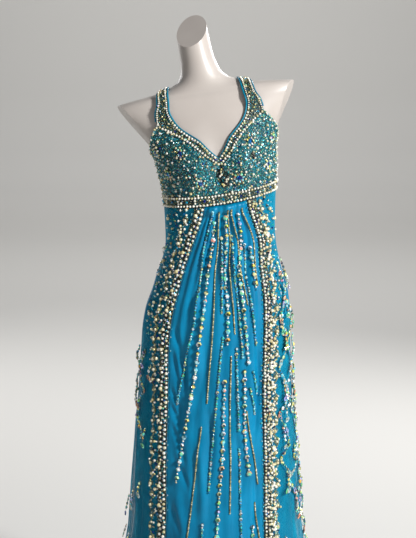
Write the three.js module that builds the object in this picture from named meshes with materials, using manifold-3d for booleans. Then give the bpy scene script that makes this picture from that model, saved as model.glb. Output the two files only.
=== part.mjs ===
// A floor-length mermaid evening dress, standing on the limbless dress form that fills it.
// Millimetres, +Z up. The front of the dress faces -Y and the wearer's left is +X.
// The origin is the middle of the underside of the form's round base.
//
// Everything is first drawn upright and symmetrical, as a pattern cutter draws it, and then
// takes the stance of the form: its chest leans and its waist is turned a little.
import * as THREE from "three";
import { mergeVertices } from "three/addons/utils/BufferGeometryUtils.js";
import Module from "manifold-3d";

const wasm = await Module();
wasm.setup();

// Driving dimensions
const WALL = 2.0; // cloth with its bead backing
const SATIN_WALL = 1.6; // plain skirt cloth
const SHEER_WALL = 1.0; // net overlay
const SEAM_GAP = 0.18; // from a panel's edge to the seam line
const BODY_EASE = 5.2; // from the form to the outside of the bodice
const SHOULDER_LIFT = 2.5; // from the form to the outside of a strap on the shoulder
const HEM = 14; // height of the hem above the floor
const BAND_MIDDLE = 1179; // height of the underbust band at the centre front
const BAND_HEIGHT = 26;
const BAND_RISE = 8; // how much higher the band runs at the sides
const BAND_PROUD = 1.2; // how far the band stands out from the cups
const BAND_BULGE = 0.6; // and how much more along its middle
const SIDE_SEAM = 90; // degrees round from the centre front
const BACK_SEAM = 112; // seam between the skirt's side and back panels
const BORDER_WIDTH = 24; // pearl border along the front seams of the skirt
const BORDER_PROUD = 2.2;
const BINDING_WIDTH = 4.5; // satin edge of the neckline
const BINDING_ROUND = 0.8; // how far its middle stands out
const STRAP_EDGE_WIDTH = 3; // satin edge of the straps' outer sides
const STRAP_STAND = 7; // how far a strap stands off where it bridges the hollow of the shoulder
const ZIP_HALF = 2.2; // half of the slot that the zip fills
const ZIP_FOOT = 925;
const ZIP_TOP = 1256;
const BASE_RADIUS = 190;
const BASE_TAPER = 3; // how much smaller the base is on top
const BASE_HEIGHT = 12;
const POLE_RADIUS = 12.5;
const FLANGE_RADIUS = 34;
const FLANGE_FOOT_RADIUS = 27.2;
const FLANGE_HEIGHT = 26;
const FORM_FOOT = 790; // flat underside of the form's torso
const SEAT = 0.3; // clearance where one piece of the stand sits on another

// The outside of the dress, level by level. Above the armhole the rows go on over the
// shoulders and up to the neck, so that straps and form share one surface.
const SHELL = [
  { height: 0, half: 404, front: 384, back: 436, square: 2.0 },
  { height: 60, half: 352, front: 332, back: 378, square: 2.0 },
  { height: 120, half: 304, front: 282, back: 322, square: 2.0 },
  { height: 200, half: 252, front: 228, back: 262, square: 2.0 },
  { height: 280, half: 217, front: 190, back: 219, square: 2.0 },
  { height: 343, half: 200, front: 168, back: 194, square: 2.0 },
  { height: 430, half: 192, front: 152, back: 172, square: 2.0 },
  { height: 515, half: 188, front: 141, back: 158, square: 2.05 },
  { height: 602, half: 183, front: 132, back: 148, square: 2.1 },
  { height: 688, half: 178, front: 125, back: 141, square: 2.1 },
  { height: 786, half: 175, front: 118, back: 136, square: 2.15 },
  { height: 871, half: 172, front: 112, back: 133, square: 2.2 },
  { height: 931, half: 165, front: 107, back: 127, square: 2.2 },
  { height: 1007, half: 143, front: 98, back: 108, square: 2.2 },
  { height: 1093, half: 127, front: 90, back: 86, square: 2.2 },
  { height: 1165, half: 129, front: 94, back: 84, square: 2.2 },
  { height: 1191, half: 131, front: 97, back: 86, square: 2.2 },
  { height: 1248, half: 137, front: 99, back: 90, square: 2.2 },
  { height: 1284, half: 142, front: 97, back: 92, square: 2.25 },
  { height: 1310, half: 151, front: 92, back: 91, square: 2.3 },
  { height: 1340, half: 170, front: 84, back: 86, square: 2.35 },
  { height: 1363, half: 188, front: 76, back: 78, square: 2.4 },
  { height: 1385, half: 210, front: 67, back: 69, square: 2.4 },
  { height: 1402, half: 223, front: 61, back: 63, square: 2.4 },
  { height: 1412, half: 220, front: 57, back: 59, square: 2.4 },
  { height: 1419, half: 200, front: 53, back: 56, square: 2.4 },
  { height: 1424, half: 162, front: 51, back: 54, square: 2.4 },
  { height: 1429, half: 122, front: 49, back: 52, square: 2.2 },
  { height: 1437, half: 86, front: 47, back: 50, square: 2.1 },
  { height: 1449, half: 62, front: 46, back: 48, square: 2.0 },
  { height: 1467, half: 48, front: 45, back: 46, square: 2.0 },
  { height: 1500, half: 41, front: 44, back: 45, square: 2.0 },
  { height: 1545, half: 39, front: 44, back: 45, square: 2.0 },
  { height: 1640, half: 38, front: 44, back: 45, square: 2.0 },
];

// How the upright drawing is bent into the stance: sideways shift in mm, roll of each level
// (the wearer's left side up) and turn about the vertical, both in degrees.
const STANCE = [
  { height: 0, shift: 0, roll: 0, turn: 0 },
  { height: 600, shift: 0, roll: 0, turn: 0 },
  { height: 786, shift: 1, roll: 2, turn: 0 },
  { height: 871, shift: 2, roll: 4, turn: 1 },
  { height: 931, shift: 3, roll: 6, turn: 3 },
  { height: 1007, shift: 6, roll: 8, turn: 5 },
  { height: 1093, shift: 12, roll: 8.5, turn: 8 },
  { height: 1191, shift: 11, roll: 8.5, turn: 8 },
  { height: 1266, shift: 3, roll: 8.5, turn: 3 },
  { height: 1330, shift: -7, roll: 8.5, turn: 1.5 },
  { height: 1410, shift: -22, roll: 8.5, turn: 0 },
  { height: 1450, shift: -31, roll: 8.5, turn: 0 },
  { height: 1500, shift: -43, roll: 8.5, turn: 0 },
  { height: 1545, shift: -52, roll: 8.5, turn: 0 },
  { height: 1640, shift: -70, roll: 8.5, turn: 0 },
];

// Half-angle of the skirt's centre front panel, in degrees: narrow under the bust, then even.
const CENTRE_PANEL = [
  { height: 0, angle: 35 },
  { height: 900, angle: 36.5 },
  { height: 1000, angle: 36.5 },
  { height: 1060, angle: 35.5 },
  { height: 1110, angle: 28 },
  { height: 1150, angle: 21 },
  { height: 1200, angle: 18 },
];

// The bands that edge the neckline, from the centre to the shoulder. Each row joins a point on
// the neckline to a point on the band's other edge, as distance from the middle and height.
const FRONT_NECK_BAND = [
  { inX: 0.4, inZ: 1273, outX: 0.4, outZ: 1251 },
  { inX: 19, inZ: 1296, outX: 32, outZ: 1280 },
  { inX: 33, inZ: 1315.5, outX: 50, outZ: 1301 },
  { inX: 53, inZ: 1333, outX: 72, outZ: 1322 },
  { inX: 69, inZ: 1348, outX: 97, outZ: 1342 },
  { inX: 80, inZ: 1366, outX: 122, outZ: 1361 },
  { inX: 85, inZ: 1385, outX: 118, outZ: 1385 },
  { inX: 83, inZ: 1404, outX: 110, outZ: 1404 },
];
const BACK_NECK_BAND = [
  { inX: 2.6, inZ: 1262, outX: 2.6, outZ: 1236 },
  { inX: 24, inZ: 1288, outX: 36, outZ: 1264 },
  { inX: 44, inZ: 1314, outX: 62, outZ: 1294 },
  { inX: 61, inZ: 1340, outX: 90, outZ: 1324 },
  { inX: 73, inZ: 1366, outX: 116, outZ: 1352 },
  { inX: 79, inZ: 1388, outX: 114, outZ: 1382 },
  { inX: 80, inZ: 1406, outX: 108, outZ: 1405 },
];
const SHOULDER = { inX: 78, outX: 104 }; // the strap on the top of the shoulder
const STRAP_PIVOT = 1330; // the point that the straps wrap round, seen from the side
const SHOULDER_GAP = 0.3; // degrees from the shoulder seam to each strap's end

// The armhole's edge, from the band's corner to the side seam.
const FRONT_ARMHOLE = [
  { x: 122, z: 1360.4 },
  { x: 137, z: 1341 },
  { x: 146, z: 1320 },
  { x: 148, z: 1302 },
];
const BACK_ARMHOLE = [
  { x: 116, z: 1351.4 },
  { x: 134, z: 1336 },
  { x: 145, z: 1316 },
  { x: 148, z: 1300 },
];
const UNDERARM = 1288; // top of the side seam
const BAND_CORNER = 5; // row of the front band at which the armhole starts
const BACK_BAND_CORNER = 4;

// Cups: how far they stand out, and where.
const CUP = { out: 25, x: 61, z: 1246, wide: 46, above: 56, below: 38 };
const CUP_FADE = 0.35; // cosine of the angle beyond which a cup fades out towards the side

// Colours and finishes
const FINISH = {
  satin: { color: 0x1193b8, roughness: 0.42 },
  beaded: { color: 0x2d7f86, roughness: 0.5 },
  pearls: { color: 0xe6dcb0, roughness: 0.25 },
  sheer: { color: 0x0e5f70, roughness: 0.6 },
  form: { color: 0xe9e2da, roughness: 0.35 },
  steel: { color: 0xb8babd, roughness: 0.3, metalness: 1 },
};

const degrees = THREE.MathUtils.degToRad;
const { clamp, lerp, smoothstep } = THREE.MathUtils;

// A smooth curve through one column of a table, without overshoot (monotone cubic).
function column(table, key) {
  const h = table.map((row) => row.height);
  const v = table.map((row) => row[key]);
  const slope = h.slice(1).map((next, i) => (v[i + 1] - v[i]) / (next - h[i]));
  const tangent = v.map((_, i) => {
    if (i === 0) return slope[0];
    if (i === v.length - 1) return slope[i - 1];
    if (slope[i - 1] * slope[i] <= 0) return 0;
    return (2 * slope[i - 1] * slope[i]) / (slope[i - 1] + slope[i]);
  });
  return (height) => {
    const at = clamp(height, h[0], h[h.length - 1]);
    let i = 0;
    while (i < h.length - 2 && at > h[i + 1]) i++;
    const step = h[i + 1] - h[i];
    const t = (at - h[i]) / step;
    const t2 = t * t;
    const t3 = t2 * t;
    return (
      (2 * t3 - 3 * t2 + 1) * v[i] +
      (t3 - 2 * t2 + t) * step * tangent[i] +
      (3 * t2 - 2 * t3) * v[i + 1] +
      (t3 - t2) * step * tangent[i + 1]
    );
  };
}

const shell = {
  half: column(SHELL, "half"),
  front: column(SHELL, "front"),
  back: column(SHELL, "back"),
  square: column(SHELL, "square"),
};
const stance = {
  shift: column(STANCE, "shift"),
  roll: column(STANCE, "roll"),
  turn: column(STANCE, "turn"),
};
const centrePanelAngle = column(CENTRE_PANEL, "angle");

// The seam gap as an angle.
const edgeGap = (z) => SEAM_GAP / shell.half(z);

// The cup's swelling in front of the plain chest.
function cup(x, z) {
  const across = (Math.abs(x) - CUP.x) / CUP.wide;
  const up = (z - CUP.z) / (z > CUP.z ? CUP.above : CUP.below);
  return CUP.out * Math.exp(-across * across - up * up);
}

// A point on the outside of the dress, upright: angle from the centre front in radians.
function onShell(angle, z, out = 0) {
  const power = 2 / shell.square(z);
  const s = Math.sin(angle);
  const c = Math.cos(angle);
  const x = Math.sign(s) * (shell.half(z) + out) * Math.abs(s) ** power;
  const swell = c > 0 ? cup(x, z) * smoothstep(c, 0, CUP_FADE) : 0;
  const depth = (c > 0 ? shell.front(z) : shell.back(z)) + out;
  const y = -Math.sign(c) * depth * Math.abs(c) ** power - swell;
  return new THREE.Vector3(x, y, z);
}

function shellPoint(angle, z) {
  return pointOn(onShell, angle, z, ANGLE_STEP, HEIGHT_STEP);
}

// The angle at which the shell is x from the middle.
function angleAt(x, z, behind = false) {
  const share = clamp(Math.abs(x) / shell.half(z), 0, 1);
  const angle = Math.asin(share ** (shell.square(z) / 2)) * Math.sign(x || 1);
  return behind ? Math.sign(x || 1) * Math.PI - angle : angle;
}

function isInside(x, y, z) {
  const share = Math.abs(x) / shell.half(z);
  if (share >= 1) return false;
  const n = shell.square(z);
  const profile = (1 - share ** n) ** (1 / n);
  if (y > 0) return y < shell.back(z) * profile;
  const swell = cup(x, z) * smoothstep(profile ** (n / 2), 0, CUP_FADE);
  return -y < shell.front(z) * profile + swell;
}

const SHOULDER_REACH = 260; // further from the strap's pivot than any point of a strap
const HALVINGS = 40; // enough to find the surface to a millionth of a millimetre

// A point on the shell at x, seen from the side at an angle round the strap's pivot:
// 0 is straight ahead, 90 is up and 180 is straight back.
function overShoulder(x, angle) {
  const forward = -Math.cos(angle);
  const up = Math.sin(angle);
  let near = 0;
  let far = SHOULDER_REACH;
  for (let i = 0; i < HALVINGS; i++) {
    const r = (near + far) / 2;
    if (isInside(x, forward * r, STRAP_PIVOT + up * r)) near = r;
    else far = r;
  }
  return new THREE.Vector3(x, forward * near, STRAP_PIVOT + up * near);
}

// Bends an upright point into the stance.
function posed(p) {
  const turn = degrees(stance.turn(p.z));
  const roll = degrees(stance.roll(p.z));
  const x = p.x * Math.cos(turn) - p.y * Math.sin(turn);
  const y = p.x * Math.sin(turn) + p.y * Math.cos(turn);
  return new THREE.Vector3(
    stance.shift(p.z) + x * Math.cos(roll),
    y,
    p.z + x * Math.sin(roll),
  );
}

// Solids from sheets of points

function geometryOf(points, faces) {
  const geometry = new THREE.BufferGeometry();
  const flat = points.flatMap((p) => [p.x, p.y, p.z]);
  geometry.setAttribute("position", new THREE.Float32BufferAttribute(flat, 3));
  geometry.setIndex(faces);
  return geometry;
}

// A point of a surface, which also carries the surface's outward normal. The first direction
// turned to the second faces out.
function pointOn(surface, a, b, stepA, stepB) {
  const p = surface(a, b);
  const alongA = surface(a + stepA, b).sub(surface(a - stepA, b));
  const alongB = surface(a, b + stepB).sub(surface(a, b - stepB));
  p.normal = alongA.cross(alongB).normalize();
  return p;
}

const ANGLE_STEP = 0.004;
const HEIGHT_STEP = 0.6;

// A wall whose outer face is the sheet moved out by `out`, and whose thickness is `wall`.
function wallGeometry(sheet, wall, out = () => 0) {
  const rows = sheet.length;
  const columns = sheet[0].length;
  const layer = (depth) =>
    sheet.flatMap((row, i) =>
      row.map((p, j) => p.clone().addScaledVector(p.normal, out(i, j) - depth)),
    );
  const points = [...layer(0), ...layer(wall)].map(posed);
  const at = (side, i, j) => side * rows * columns + i * columns + j;
  const i0 = rows >> 1;
  const j0 = (columns - 1) >> 1;
  const facing = sheet[Math.min(i0 + 1, rows - 1)][j0]
    .clone()
    .sub(sheet[i0 - 1][j0])
    .cross(sheet[i0][j0 + 1].clone().sub(sheet[i0][j0]))
    .dot(sheet[i0][j0].normal);
  const faces = [];
  const quad = (a, b, c, d) => {
    if (facing > 0) faces.push(a, b, c, a, c, d);
    else faces.push(a, c, b, a, d, c);
  };
  for (let i = 0; i < rows - 1; i++)
    for (let j = 0; j < columns - 1; j++) {
      quad(at(0, i, j), at(0, i + 1, j), at(0, i + 1, j + 1), at(0, i, j + 1));
      quad(at(1, i, j), at(1, i, j + 1), at(1, i + 1, j + 1), at(1, i + 1, j));
    }
  for (let i = 0; i < rows - 1; i++) {
    const end = columns - 1;
    quad(at(0, i, 0), at(1, i, 0), at(1, i + 1, 0), at(0, i + 1, 0));
    quad(at(0, i, end), at(0, i + 1, end), at(1, i + 1, end), at(1, i, end));
  }
  for (let j = 0; j < columns - 1; j++) {
    const end = rows - 1;
    quad(at(0, 0, j), at(0, 0, j + 1), at(1, 0, j + 1), at(1, 0, j));
    quad(at(0, end, j), at(1, end, j), at(1, end, j + 1), at(0, end, j + 1));
  }
  return geometryOf(points, faces);
}

// A closed body through rings of points, with a flat cap at each end.
function loftGeometry(rings) {
  const count = rings[0].length;
  const points = rings.flat();
  const faces = [];
  for (let i = 0; i < rings.length - 1; i++)
    for (let j = 0; j < count; j++) {
      const a = i * count + j;
      const b = i * count + ((j + 1) % count);
      faces.push(a, b, b + count, a, b + count, a + count);
    }
  const capCentre = (ring) =>
    ring.reduce((sum, p) => sum.add(p), new THREE.Vector3()).divideScalar(count);
  points.push(capCentre(rings[0]), capCentre(rings[rings.length - 1]));
  const top = (rings.length - 1) * count;
  for (let j = 0; j < count; j++) {
    const next = (j + 1) % count;
    faces.push(points.length - 2, next, j);
    faces.push(points.length - 1, top + j, top + next);
  }
  return geometryOf(points, faces);
}

function solidOf(geometry) {
  const bare = geometry.clone();
  bare.deleteAttribute("normal");
  bare.deleteAttribute("uv");
  const merged = mergeVertices(bare, 1e-4);
  return new wasm.Manifold(
    new wasm.Mesh({
      numProp: 3,
      vertProperties: new Float32Array(merged.attributes.position.array),
      triVerts: new Uint32Array(merged.index.array),
    }),
  );
}

function geometryOfSolid(solid) {
  const mesh = solid.getMesh();
  const geometry = new THREE.BufferGeometry();
  geometry.setAttribute("position", new THREE.BufferAttribute(mesh.vertProperties, 3));
  geometry.setIndex(new THREE.BufferAttribute(mesh.triVerts, 1));
  return geometry;
}

function bend(geometry) {
  const position = geometry.attributes.position;
  const p = new THREE.Vector3();
  for (let i = 0; i < position.count; i++) {
    p.copy(posed(p.fromBufferAttribute(position, i)));
    position.setXYZ(i, p.x, p.y, p.z);
  }
  return geometry;
}

const dress = new THREE.Group();

function add(name, geometry, finish) {
  const mesh = new THREE.Mesh(geometry, new THREE.MeshStandardMaterial(FINISH[finish]));
  mesh.name = name;
  dress.add(mesh);
  return mesh;
}

const SIDES = [
  { name: "left", sign: 1 },
  { name: "right", sign: -1 },
];
const steps = (count) => Array.from({ length: count + 1 }, (_, i) => i / count);
const flip = (p, sign) => new THREE.Vector3(p.x * sign, p.y, p.z);
const mirror = (sheet, sign) =>
  sheet.map((row) =>
    row.map((p) => Object.assign(flip(p, sign), { normal: flip(p.normal, sign) })),
  );

// Neck bands and straps

// Where each row's two ends lie: distance from the middle and angle round the strap's pivot.
function neckBandRows(table, behind) {
  const angle = (x, z) => {
    const y = onShell(angleAt(x, z, behind), z).y;
    const round = Math.atan2(z - STRAP_PIVOT, -y);
    return behind && round < 0 ? round + 2 * Math.PI : round;
  };
  const rows = table.map((row) => ({
    inX: row.inX,
    inAngle: angle(row.inX, row.inZ),
    outX: row.outX,
    outAngle: angle(row.outX, row.outZ),
  }));
  const edge = degrees(behind ? 90 + SHOULDER_GAP : 90 - SHOULDER_GAP);
  rows.push({ inX: SHOULDER.inX, inAngle: edge, outX: SHOULDER.outX, outAngle: edge });
  return rows.map((row, i) => ({ height: i, ...row }));
}

// A neck band as a surface: along runs over the table's rows, across from neckline to far edge.
function neckBand(table, behind) {
  const rows = neckBandRows(table, behind);
  const inX = column(rows, "inX");
  const inAngle = column(rows, "inAngle");
  const outX = column(rows, "outX");
  const outAngle = column(rows, "outAngle");
  const standFrom = behind ? BACK_BAND_CORNER : BAND_CORNER;
  return (along, across) => {
    const p = pointOn(
      overShoulder,
      lerp(inX(along), outX(along), across),
      lerp(inAngle(along), outAngle(along), across),
      HEIGHT_STEP,
      ANGLE_STEP,
    );
    const share = clamp((along - standFrom) / (table.length - standFrom), 0, 1);
    return p.addScaledVector(p.normal, STRAP_STAND * Math.sin(Math.PI * share) ** 2);
  };
}

const frontBand = neckBand(FRONT_NECK_BAND, false);
const backBand = neckBand(BACK_NECK_BAND, true);

// Steps along a band of so many rows, closer together where it turns over the shoulder.
const alongBand = (rows) => [
  ...steps((rows - 1) * 2).map((t) => t * (rows - 1)),
  ...steps(7).slice(1).map((t) => rows - 1 + t),
];

// The band keeps a seam gap from the cup below it.
function neckBandSheet(band, rows) {
  return alongBand(rows).map((along) =>
    steps(3).map((s) => {
      const width = band(along, 0).distanceTo(band(along, 1));
      const start = BINDING_WIDTH + SEAM_GAP;
      return band(along, lerp(start, width - SEAM_GAP, s) / width);
    }),
  );
}

for (const { name, sign } of SIDES) {
  const front = mirror(neckBandSheet(frontBand, FRONT_NECK_BAND.length), sign);
  add(`front_neck_band_${name}`, wallGeometry(front, WALL), "beaded");
  const back = mirror(neckBandSheet(backBand, BACK_NECK_BAND.length), sign);
  add(`back_neck_band_${name}`, wallGeometry(back, WALL), "beaded");
}

// Satin binding along the neckline: a strip on the band's inner side, a little rounded.
function bindingSheet(band, rows) {
  return alongBand(rows).map((along) => {
    const width = band(along, 0).distanceTo(band(along, 1));
    return steps(2).map((s) => band(along, (s * (BINDING_WIDTH - SEAM_GAP)) / width));
  });
}

for (const { name, sign } of SIDES) {
  const round = (i, j) => (j === 1 ? BINDING_ROUND : 0);
  const front = mirror(bindingSheet(frontBand, FRONT_NECK_BAND.length), sign);
  add(`neck_binding_front_${name}`, wallGeometry(front, WALL, round), "satin");
  const back = mirror(bindingSheet(backBand, BACK_NECK_BAND.length), sign);
  add(`neck_binding_back_${name}`, wallGeometry(back, WALL, round), "satin");
}

// Satin edge along the outer side of each strap, from just above the armhole's corner.
const EDGE_START = 0.35;

function strapEdgeSheet(band, rows, corner) {
  const from = corner + EDGE_START;
  const alongs = [from, ...alongBand(rows).filter((along) => along > from + 0.1)];
  return alongs.map((along) => {
    const width = band(along, 0).distanceTo(band(along, 1));
    return steps(1).map((s) => band(along, 1 + (SEAM_GAP + s * STRAP_EDGE_WIDTH) / width));
  });
}

for (const { name, sign } of SIDES) {
  const front = mirror(strapEdgeSheet(frontBand, FRONT_NECK_BAND.length, BAND_CORNER), sign);
  add(`strap_edge_front_${name}`, wallGeometry(front, WALL), "satin");
  const back = mirror(strapEdgeSheet(backBand, BACK_NECK_BAND.length, BACK_BAND_CORNER), sign);
  add(`strap_edge_back_${name}`, wallGeometry(back, WALL), "satin");
}

// Bodice panels

const bandRise = (angle) => BAND_RISE * Math.sin(angle) ** 2;
const bandTop = (angle) => BAND_MIDDLE + BAND_HEIGHT / 2 + bandRise(angle);
const bandFoot = (angle) => BAND_MIDDLE - BAND_HEIGHT / 2 + bandRise(angle);

// A panel from the underbust band up to the neck band and the armhole.
function bodiceSheet({ band, corner, armhole, behind, start }) {
  const cornerShare = 0.68;
  const side = degrees(SIDE_SEAM) + (behind ? 1 : -1) * edgeGap(UNDERARM);
  const turnAt = (x, z) => {
    const angle = angleAt(x, z, behind);
    return behind ? Math.max(angle, side) : Math.min(angle, side);
  };
  const armholeCurve = armhole.map((p, i) => ({ height: i, x: p.x, z: p.z }));
  const armX = column(armholeCurve, "x");
  const armZ = column(armholeCurve, "z");
  const underBand = (along) => {
    const width = band(along, 0).distanceTo(band(along, 1));
    const p = band(along, 1 + SEAM_GAP / width);
    return { angle: turnAt(p.x, p.z), z: p.z };
  };
  const underArm = (t) => {
    const along = t * armhole.length;
    const angle = turnAt(armX(along), armZ(along));
    const last = armhole.length - 1;
    if (along <= last) return { angle, z: armZ(along) };
    return { angle: lerp(angle, side, along - last), z: lerp(armZ(last), UNDERARM, along - last) };
  };
  const top = [
    ...steps(corner * 2).map((t) => ({ u: t * cornerShare, ...underBand(t * corner) })),
    ...steps(5)
      .slice(1)
      .map((t) => ({ u: lerp(cornerShare, 1, t), ...underArm(t) })),
  ];
  return top.map(({ u, angle, z }) => {
    const footAngle = lerp(start, side, u);
    const footZ = bandTop(footAngle) + SEAM_GAP;
    return steps(8).map((v) => shellPoint(lerp(footAngle, angle, v), lerp(footZ, z, v)));
  });
}

for (const { name, sign } of SIDES) {
  const front = bodiceSheet({
    band: frontBand,
    corner: BAND_CORNER,
    armhole: FRONT_ARMHOLE,
    behind: false,
    start: angleAt(0.4, BAND_MIDDLE),
  });
  add(`bodice_front_${name}`, wallGeometry(mirror(front, sign), WALL), "beaded");
  const back = bodiceSheet({
    band: backBand,
    corner: BACK_BAND_CORNER,
    armhole: BACK_ARMHOLE,
    behind: true,
    start: angleAt(2.6, BAND_MIDDLE, true),
  });
  add(`bodice_back_${name}`, wallGeometry(mirror(back, sign), WALL), "beaded");
}

// Underbust band: one front piece and two back pieces that stop at the zip.

function waistBandSheet(from, to, count) {
  return steps(count).map((u) => {
    const angle = lerp(from, to, u);
    return steps(2).map((v) =>
      shellPoint(angle, lerp(bandFoot(angle) + SEAM_GAP, bandTop(angle) - SEAM_GAP, v)),
    );
  });
}

const sideAngle = degrees(SIDE_SEAM);
const sideGap = edgeGap(BAND_MIDDLE);
const bandProud = (i, j) => (j === 1 ? BAND_PROUD + BAND_BULGE : BAND_PROUD);
add(
  "underbust_band_front",
  wallGeometry(waistBandSheet(-sideAngle + sideGap, sideAngle - sideGap, 32), WALL + 1, bandProud),
  "pearls",
);
for (const { name, sign } of SIDES) {
  const sheet = waistBandSheet(sideAngle + sideGap, angleAt(ZIP_HALF, BAND_MIDDLE, true), 16);
  add(
    `underbust_band_back_${name}`,
    wallGeometry(mirror(sheet, sign), WALL + 1, bandProud),
    "pearls",
  );
}

// Skirt

// Soft folds that the centre panel is gathered into: full depth at the top, less further down.
const GATHERS = { count: 8, depth: 6, left: 0.28, from: 640, to: 1120 };
// Waves of the flared hem, all round. They run out above the start, and no two are alike.
const FLARE = { waves: 16, depth: 24, start: 470, steepness: 1.5 };
// Over these heights the skirt's rows take on the rise of the band.
const RISE = { from: 960, to: 1165 };

// How far a fold stands out at an angle and height.
function fold(angle, z) {
  const panel = degrees(centrePanelAngle(z));
  const share = angle / panel;
  let out = 0;
  if (Math.abs(share) < 1) {
    const depth = lerp(GATHERS.left, 1, smoothstep(z, GATHERS.from, GATHERS.to)) * GATHERS.depth;
    out += depth * (0.5 + 0.5 * Math.cos(share * GATHERS.count * Math.PI)) * (1 - share ** 4);
  }
  const flare = (1 - smoothstep(z, 0, FLARE.start)) ** FLARE.steepness;
  const uneven = 1 + 0.22 * Math.sin(3 * angle + 0.7) + 0.15 * Math.cos(5 * angle);
  const wave = Math.cos(FLARE.waves * angle + 0.4 * Math.sin(2 * angle));
  return out + FLARE.depth * flare * uneven * wave;
}

const onSkirt = (angle, z) => onShell(angle, z, fold(angle, z));

// Heights of the skirt's rows, closer together where the hem flares.
const SKIRT_ROWS = [
  HEM, 60, 115, 180, 255, 345, 470, 620, 760, 860, ZIP_FOOT, 975, 1030, 1095, 1150,
];

// A skirt panel over some seams, given as angles for a height, with a number of columns from
// each seam to the next.
function skirtSheet(seams, columns, rows = SKIRT_ROWS) {
  const shares = columns.flatMap((count, k) => steps(count).slice(k ? 1 : 0).map((t) => k + t));
  const angleOf = (share, z) => {
    const k = Math.min(Math.floor(share), seams.length - 2);
    return lerp(seams[k](z), seams[k + 1](z), share - k);
  };
  return rows.map((height, i) =>
    shares.map((share) => {
      const guess = angleOf(share, height);
      const rise = bandRise(guess) * smoothstep(height, RISE.from, RISE.to);
      const z = i === rows.length - 1 ? bandFoot(guess) - 3 * SEAM_GAP : height + rise;
      return pointOn(onSkirt, angleOf(share, z), z, ANGLE_STEP, HEIGHT_STEP);
    }),
  );
}

const centreSeam = (z) => degrees(centrePanelAngle(z));
const backSeam = () => degrees(BACK_SEAM);
const borderAngle = (z) =>
  BORDER_WIDTH /
  Math.hypot(
    shell.half(z) * Math.cos(centreSeam(z)),
    shell.front(z) * Math.sin(centreSeam(z)),
  );
const borderEdge = (z) => centreSeam(z) + borderAngle(z);
const ZIP_CLOSES = 20; // below the zip's foot the slot closes to a seam over this height
const zipEdge = (z) => {
  const open = smoothstep(z, ZIP_FOOT - ZIP_CLOSES, ZIP_FOOT);
  return angleAt(lerp(SEAM_GAP, ZIP_HALF, open), z, true);
};
// The same seams on either side of the middle, each kept clear by a number of gaps.
const seam = (angle, sign, gaps = 0) => (z) => sign * (angle(z) + gaps * edgeGap(z));

add(
  "skirt_centre_front",
  wallGeometry(skirtSheet([seam(centreSeam, -1, -1), seam(centreSeam, 1, -1)], [32]), SATIN_WALL),
  "satin",
);
for (const { name, sign } of SIDES) {
  const side = skirtSheet(
    [seam(centreSeam, sign, 1), seam(borderEdge, sign), seam(backSeam, sign, -1)],
    [3, 12],
  );
  add(`skirt_side_${name}`, wallGeometry(side, SATIN_WALL), "satin");
  const back = skirtSheet([seam(backSeam, sign, 1), seam(zipEdge, sign)], [12]);
  add(`skirt_back_${name}`, wallGeometry(back, SATIN_WALL), "satin");
}

// Pearl borders: strips laid on the side panels, along the seams of the centre panel.
const LAID_CLEAR = 0.6; // under a layer that lies on the satin
const BORDER_SHORT = 4; // how much higher than the satin the border and the net end
const OVERLAY_SHORT = 8;

for (const { name, sign } of SIDES) {
  const rows = SKIRT_ROWS.map((z) => Math.max(z, HEM + BORDER_SHORT));
  const sheet = skirtSheet([seam(centreSeam, sign, 1), seam(borderEdge, sign, -1)], [3], rows);
  const border = wallGeometry(sheet, BORDER_PROUD - LAID_CLEAR, () => BORDER_PROUD);
  add(`pearl_border_${name}`, border, "pearls");
}

// Sheer overlay: a net layer over each side panel, from the pearl border to the back seam.
// It stands away from the satin at the sides, more so towards the hem.
const OVERLAY_ROWS = SKIRT_ROWS.map((z) => Math.max(z, HEM + OVERLAY_SHORT));
const overlayStand = (z) => 13 * (1 - smoothstep(z, 250, 900)) + 6 * (1 - smoothstep(z, 0, 300));

for (const { name, sign } of SIDES) {
  const sheet = skirtSheet(
    [seam(borderEdge, sign, 1), seam(backSeam, sign, -1)],
    [12],
    OVERLAY_ROWS,
  );
  const end = sheet[0].length - 1;
  const stand = (i, j) => {
    const bell = Math.sin((Math.PI * j) / end);
    return LAID_CLEAR + SHEER_WALL + overlayStand(OVERLAY_ROWS[i]) * bell;
  };
  add(`sheer_overlay_${name}`, wallGeometry(sheet, SHEER_WALL, stand), "sheer");
}

// Zip: the closed chain in its slot, the slider with its bridge, and the pull tab whose eye
// goes round the bridge.

const CHAIN = { wall: 1.6, sunk: 0.2, clear: 0.3 };
const SLIDER = { width: 7, height: 11, thick: 3.2, clear: 0.5, middle: 1247 };
const BRIDGE = { width: 1.8, clear: 2.3, thick: 0.9, halfOpening: 1.75, root: 0.4 };
const TAB = { width: 7, length: 22, thick: 1.3, bar: 1.3, eyeHalf: 1.5, eyeHeight: 2.8 };

// The chain's rows are those of the panels beside it.
const zipHeights = [
  ...SKIRT_ROWS.filter((z) => z >= ZIP_FOOT),
  bandFoot(Math.PI),
  ...steps(4).map((t) => lerp(bandTop(Math.PI), ZIP_TOP, t)),
];
const zipSheet = zipHeights.map((z) => {
  const edge = angleAt(ZIP_HALF - CHAIN.clear, z, true);
  return [2 * Math.PI - edge, Math.PI, edge].map((angle) => shellPoint(angle, z));
});
add("zip_chain", wallGeometry(zipSheet, CHAIN.wall, () => -CHAIN.sunk), "steel");

// Hard pieces take the stance without bending: it turns and tips them about the slider.
function setOnBack(geometry) {
  const height = SLIDER.middle;
  geometry.translate(0, 0, -height);
  geometry.rotateZ(degrees(stance.turn(height)));
  geometry.rotateY(-degrees(stance.roll(height)));
  return geometry.translate(stance.shift(height), 0, height);
}

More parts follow.
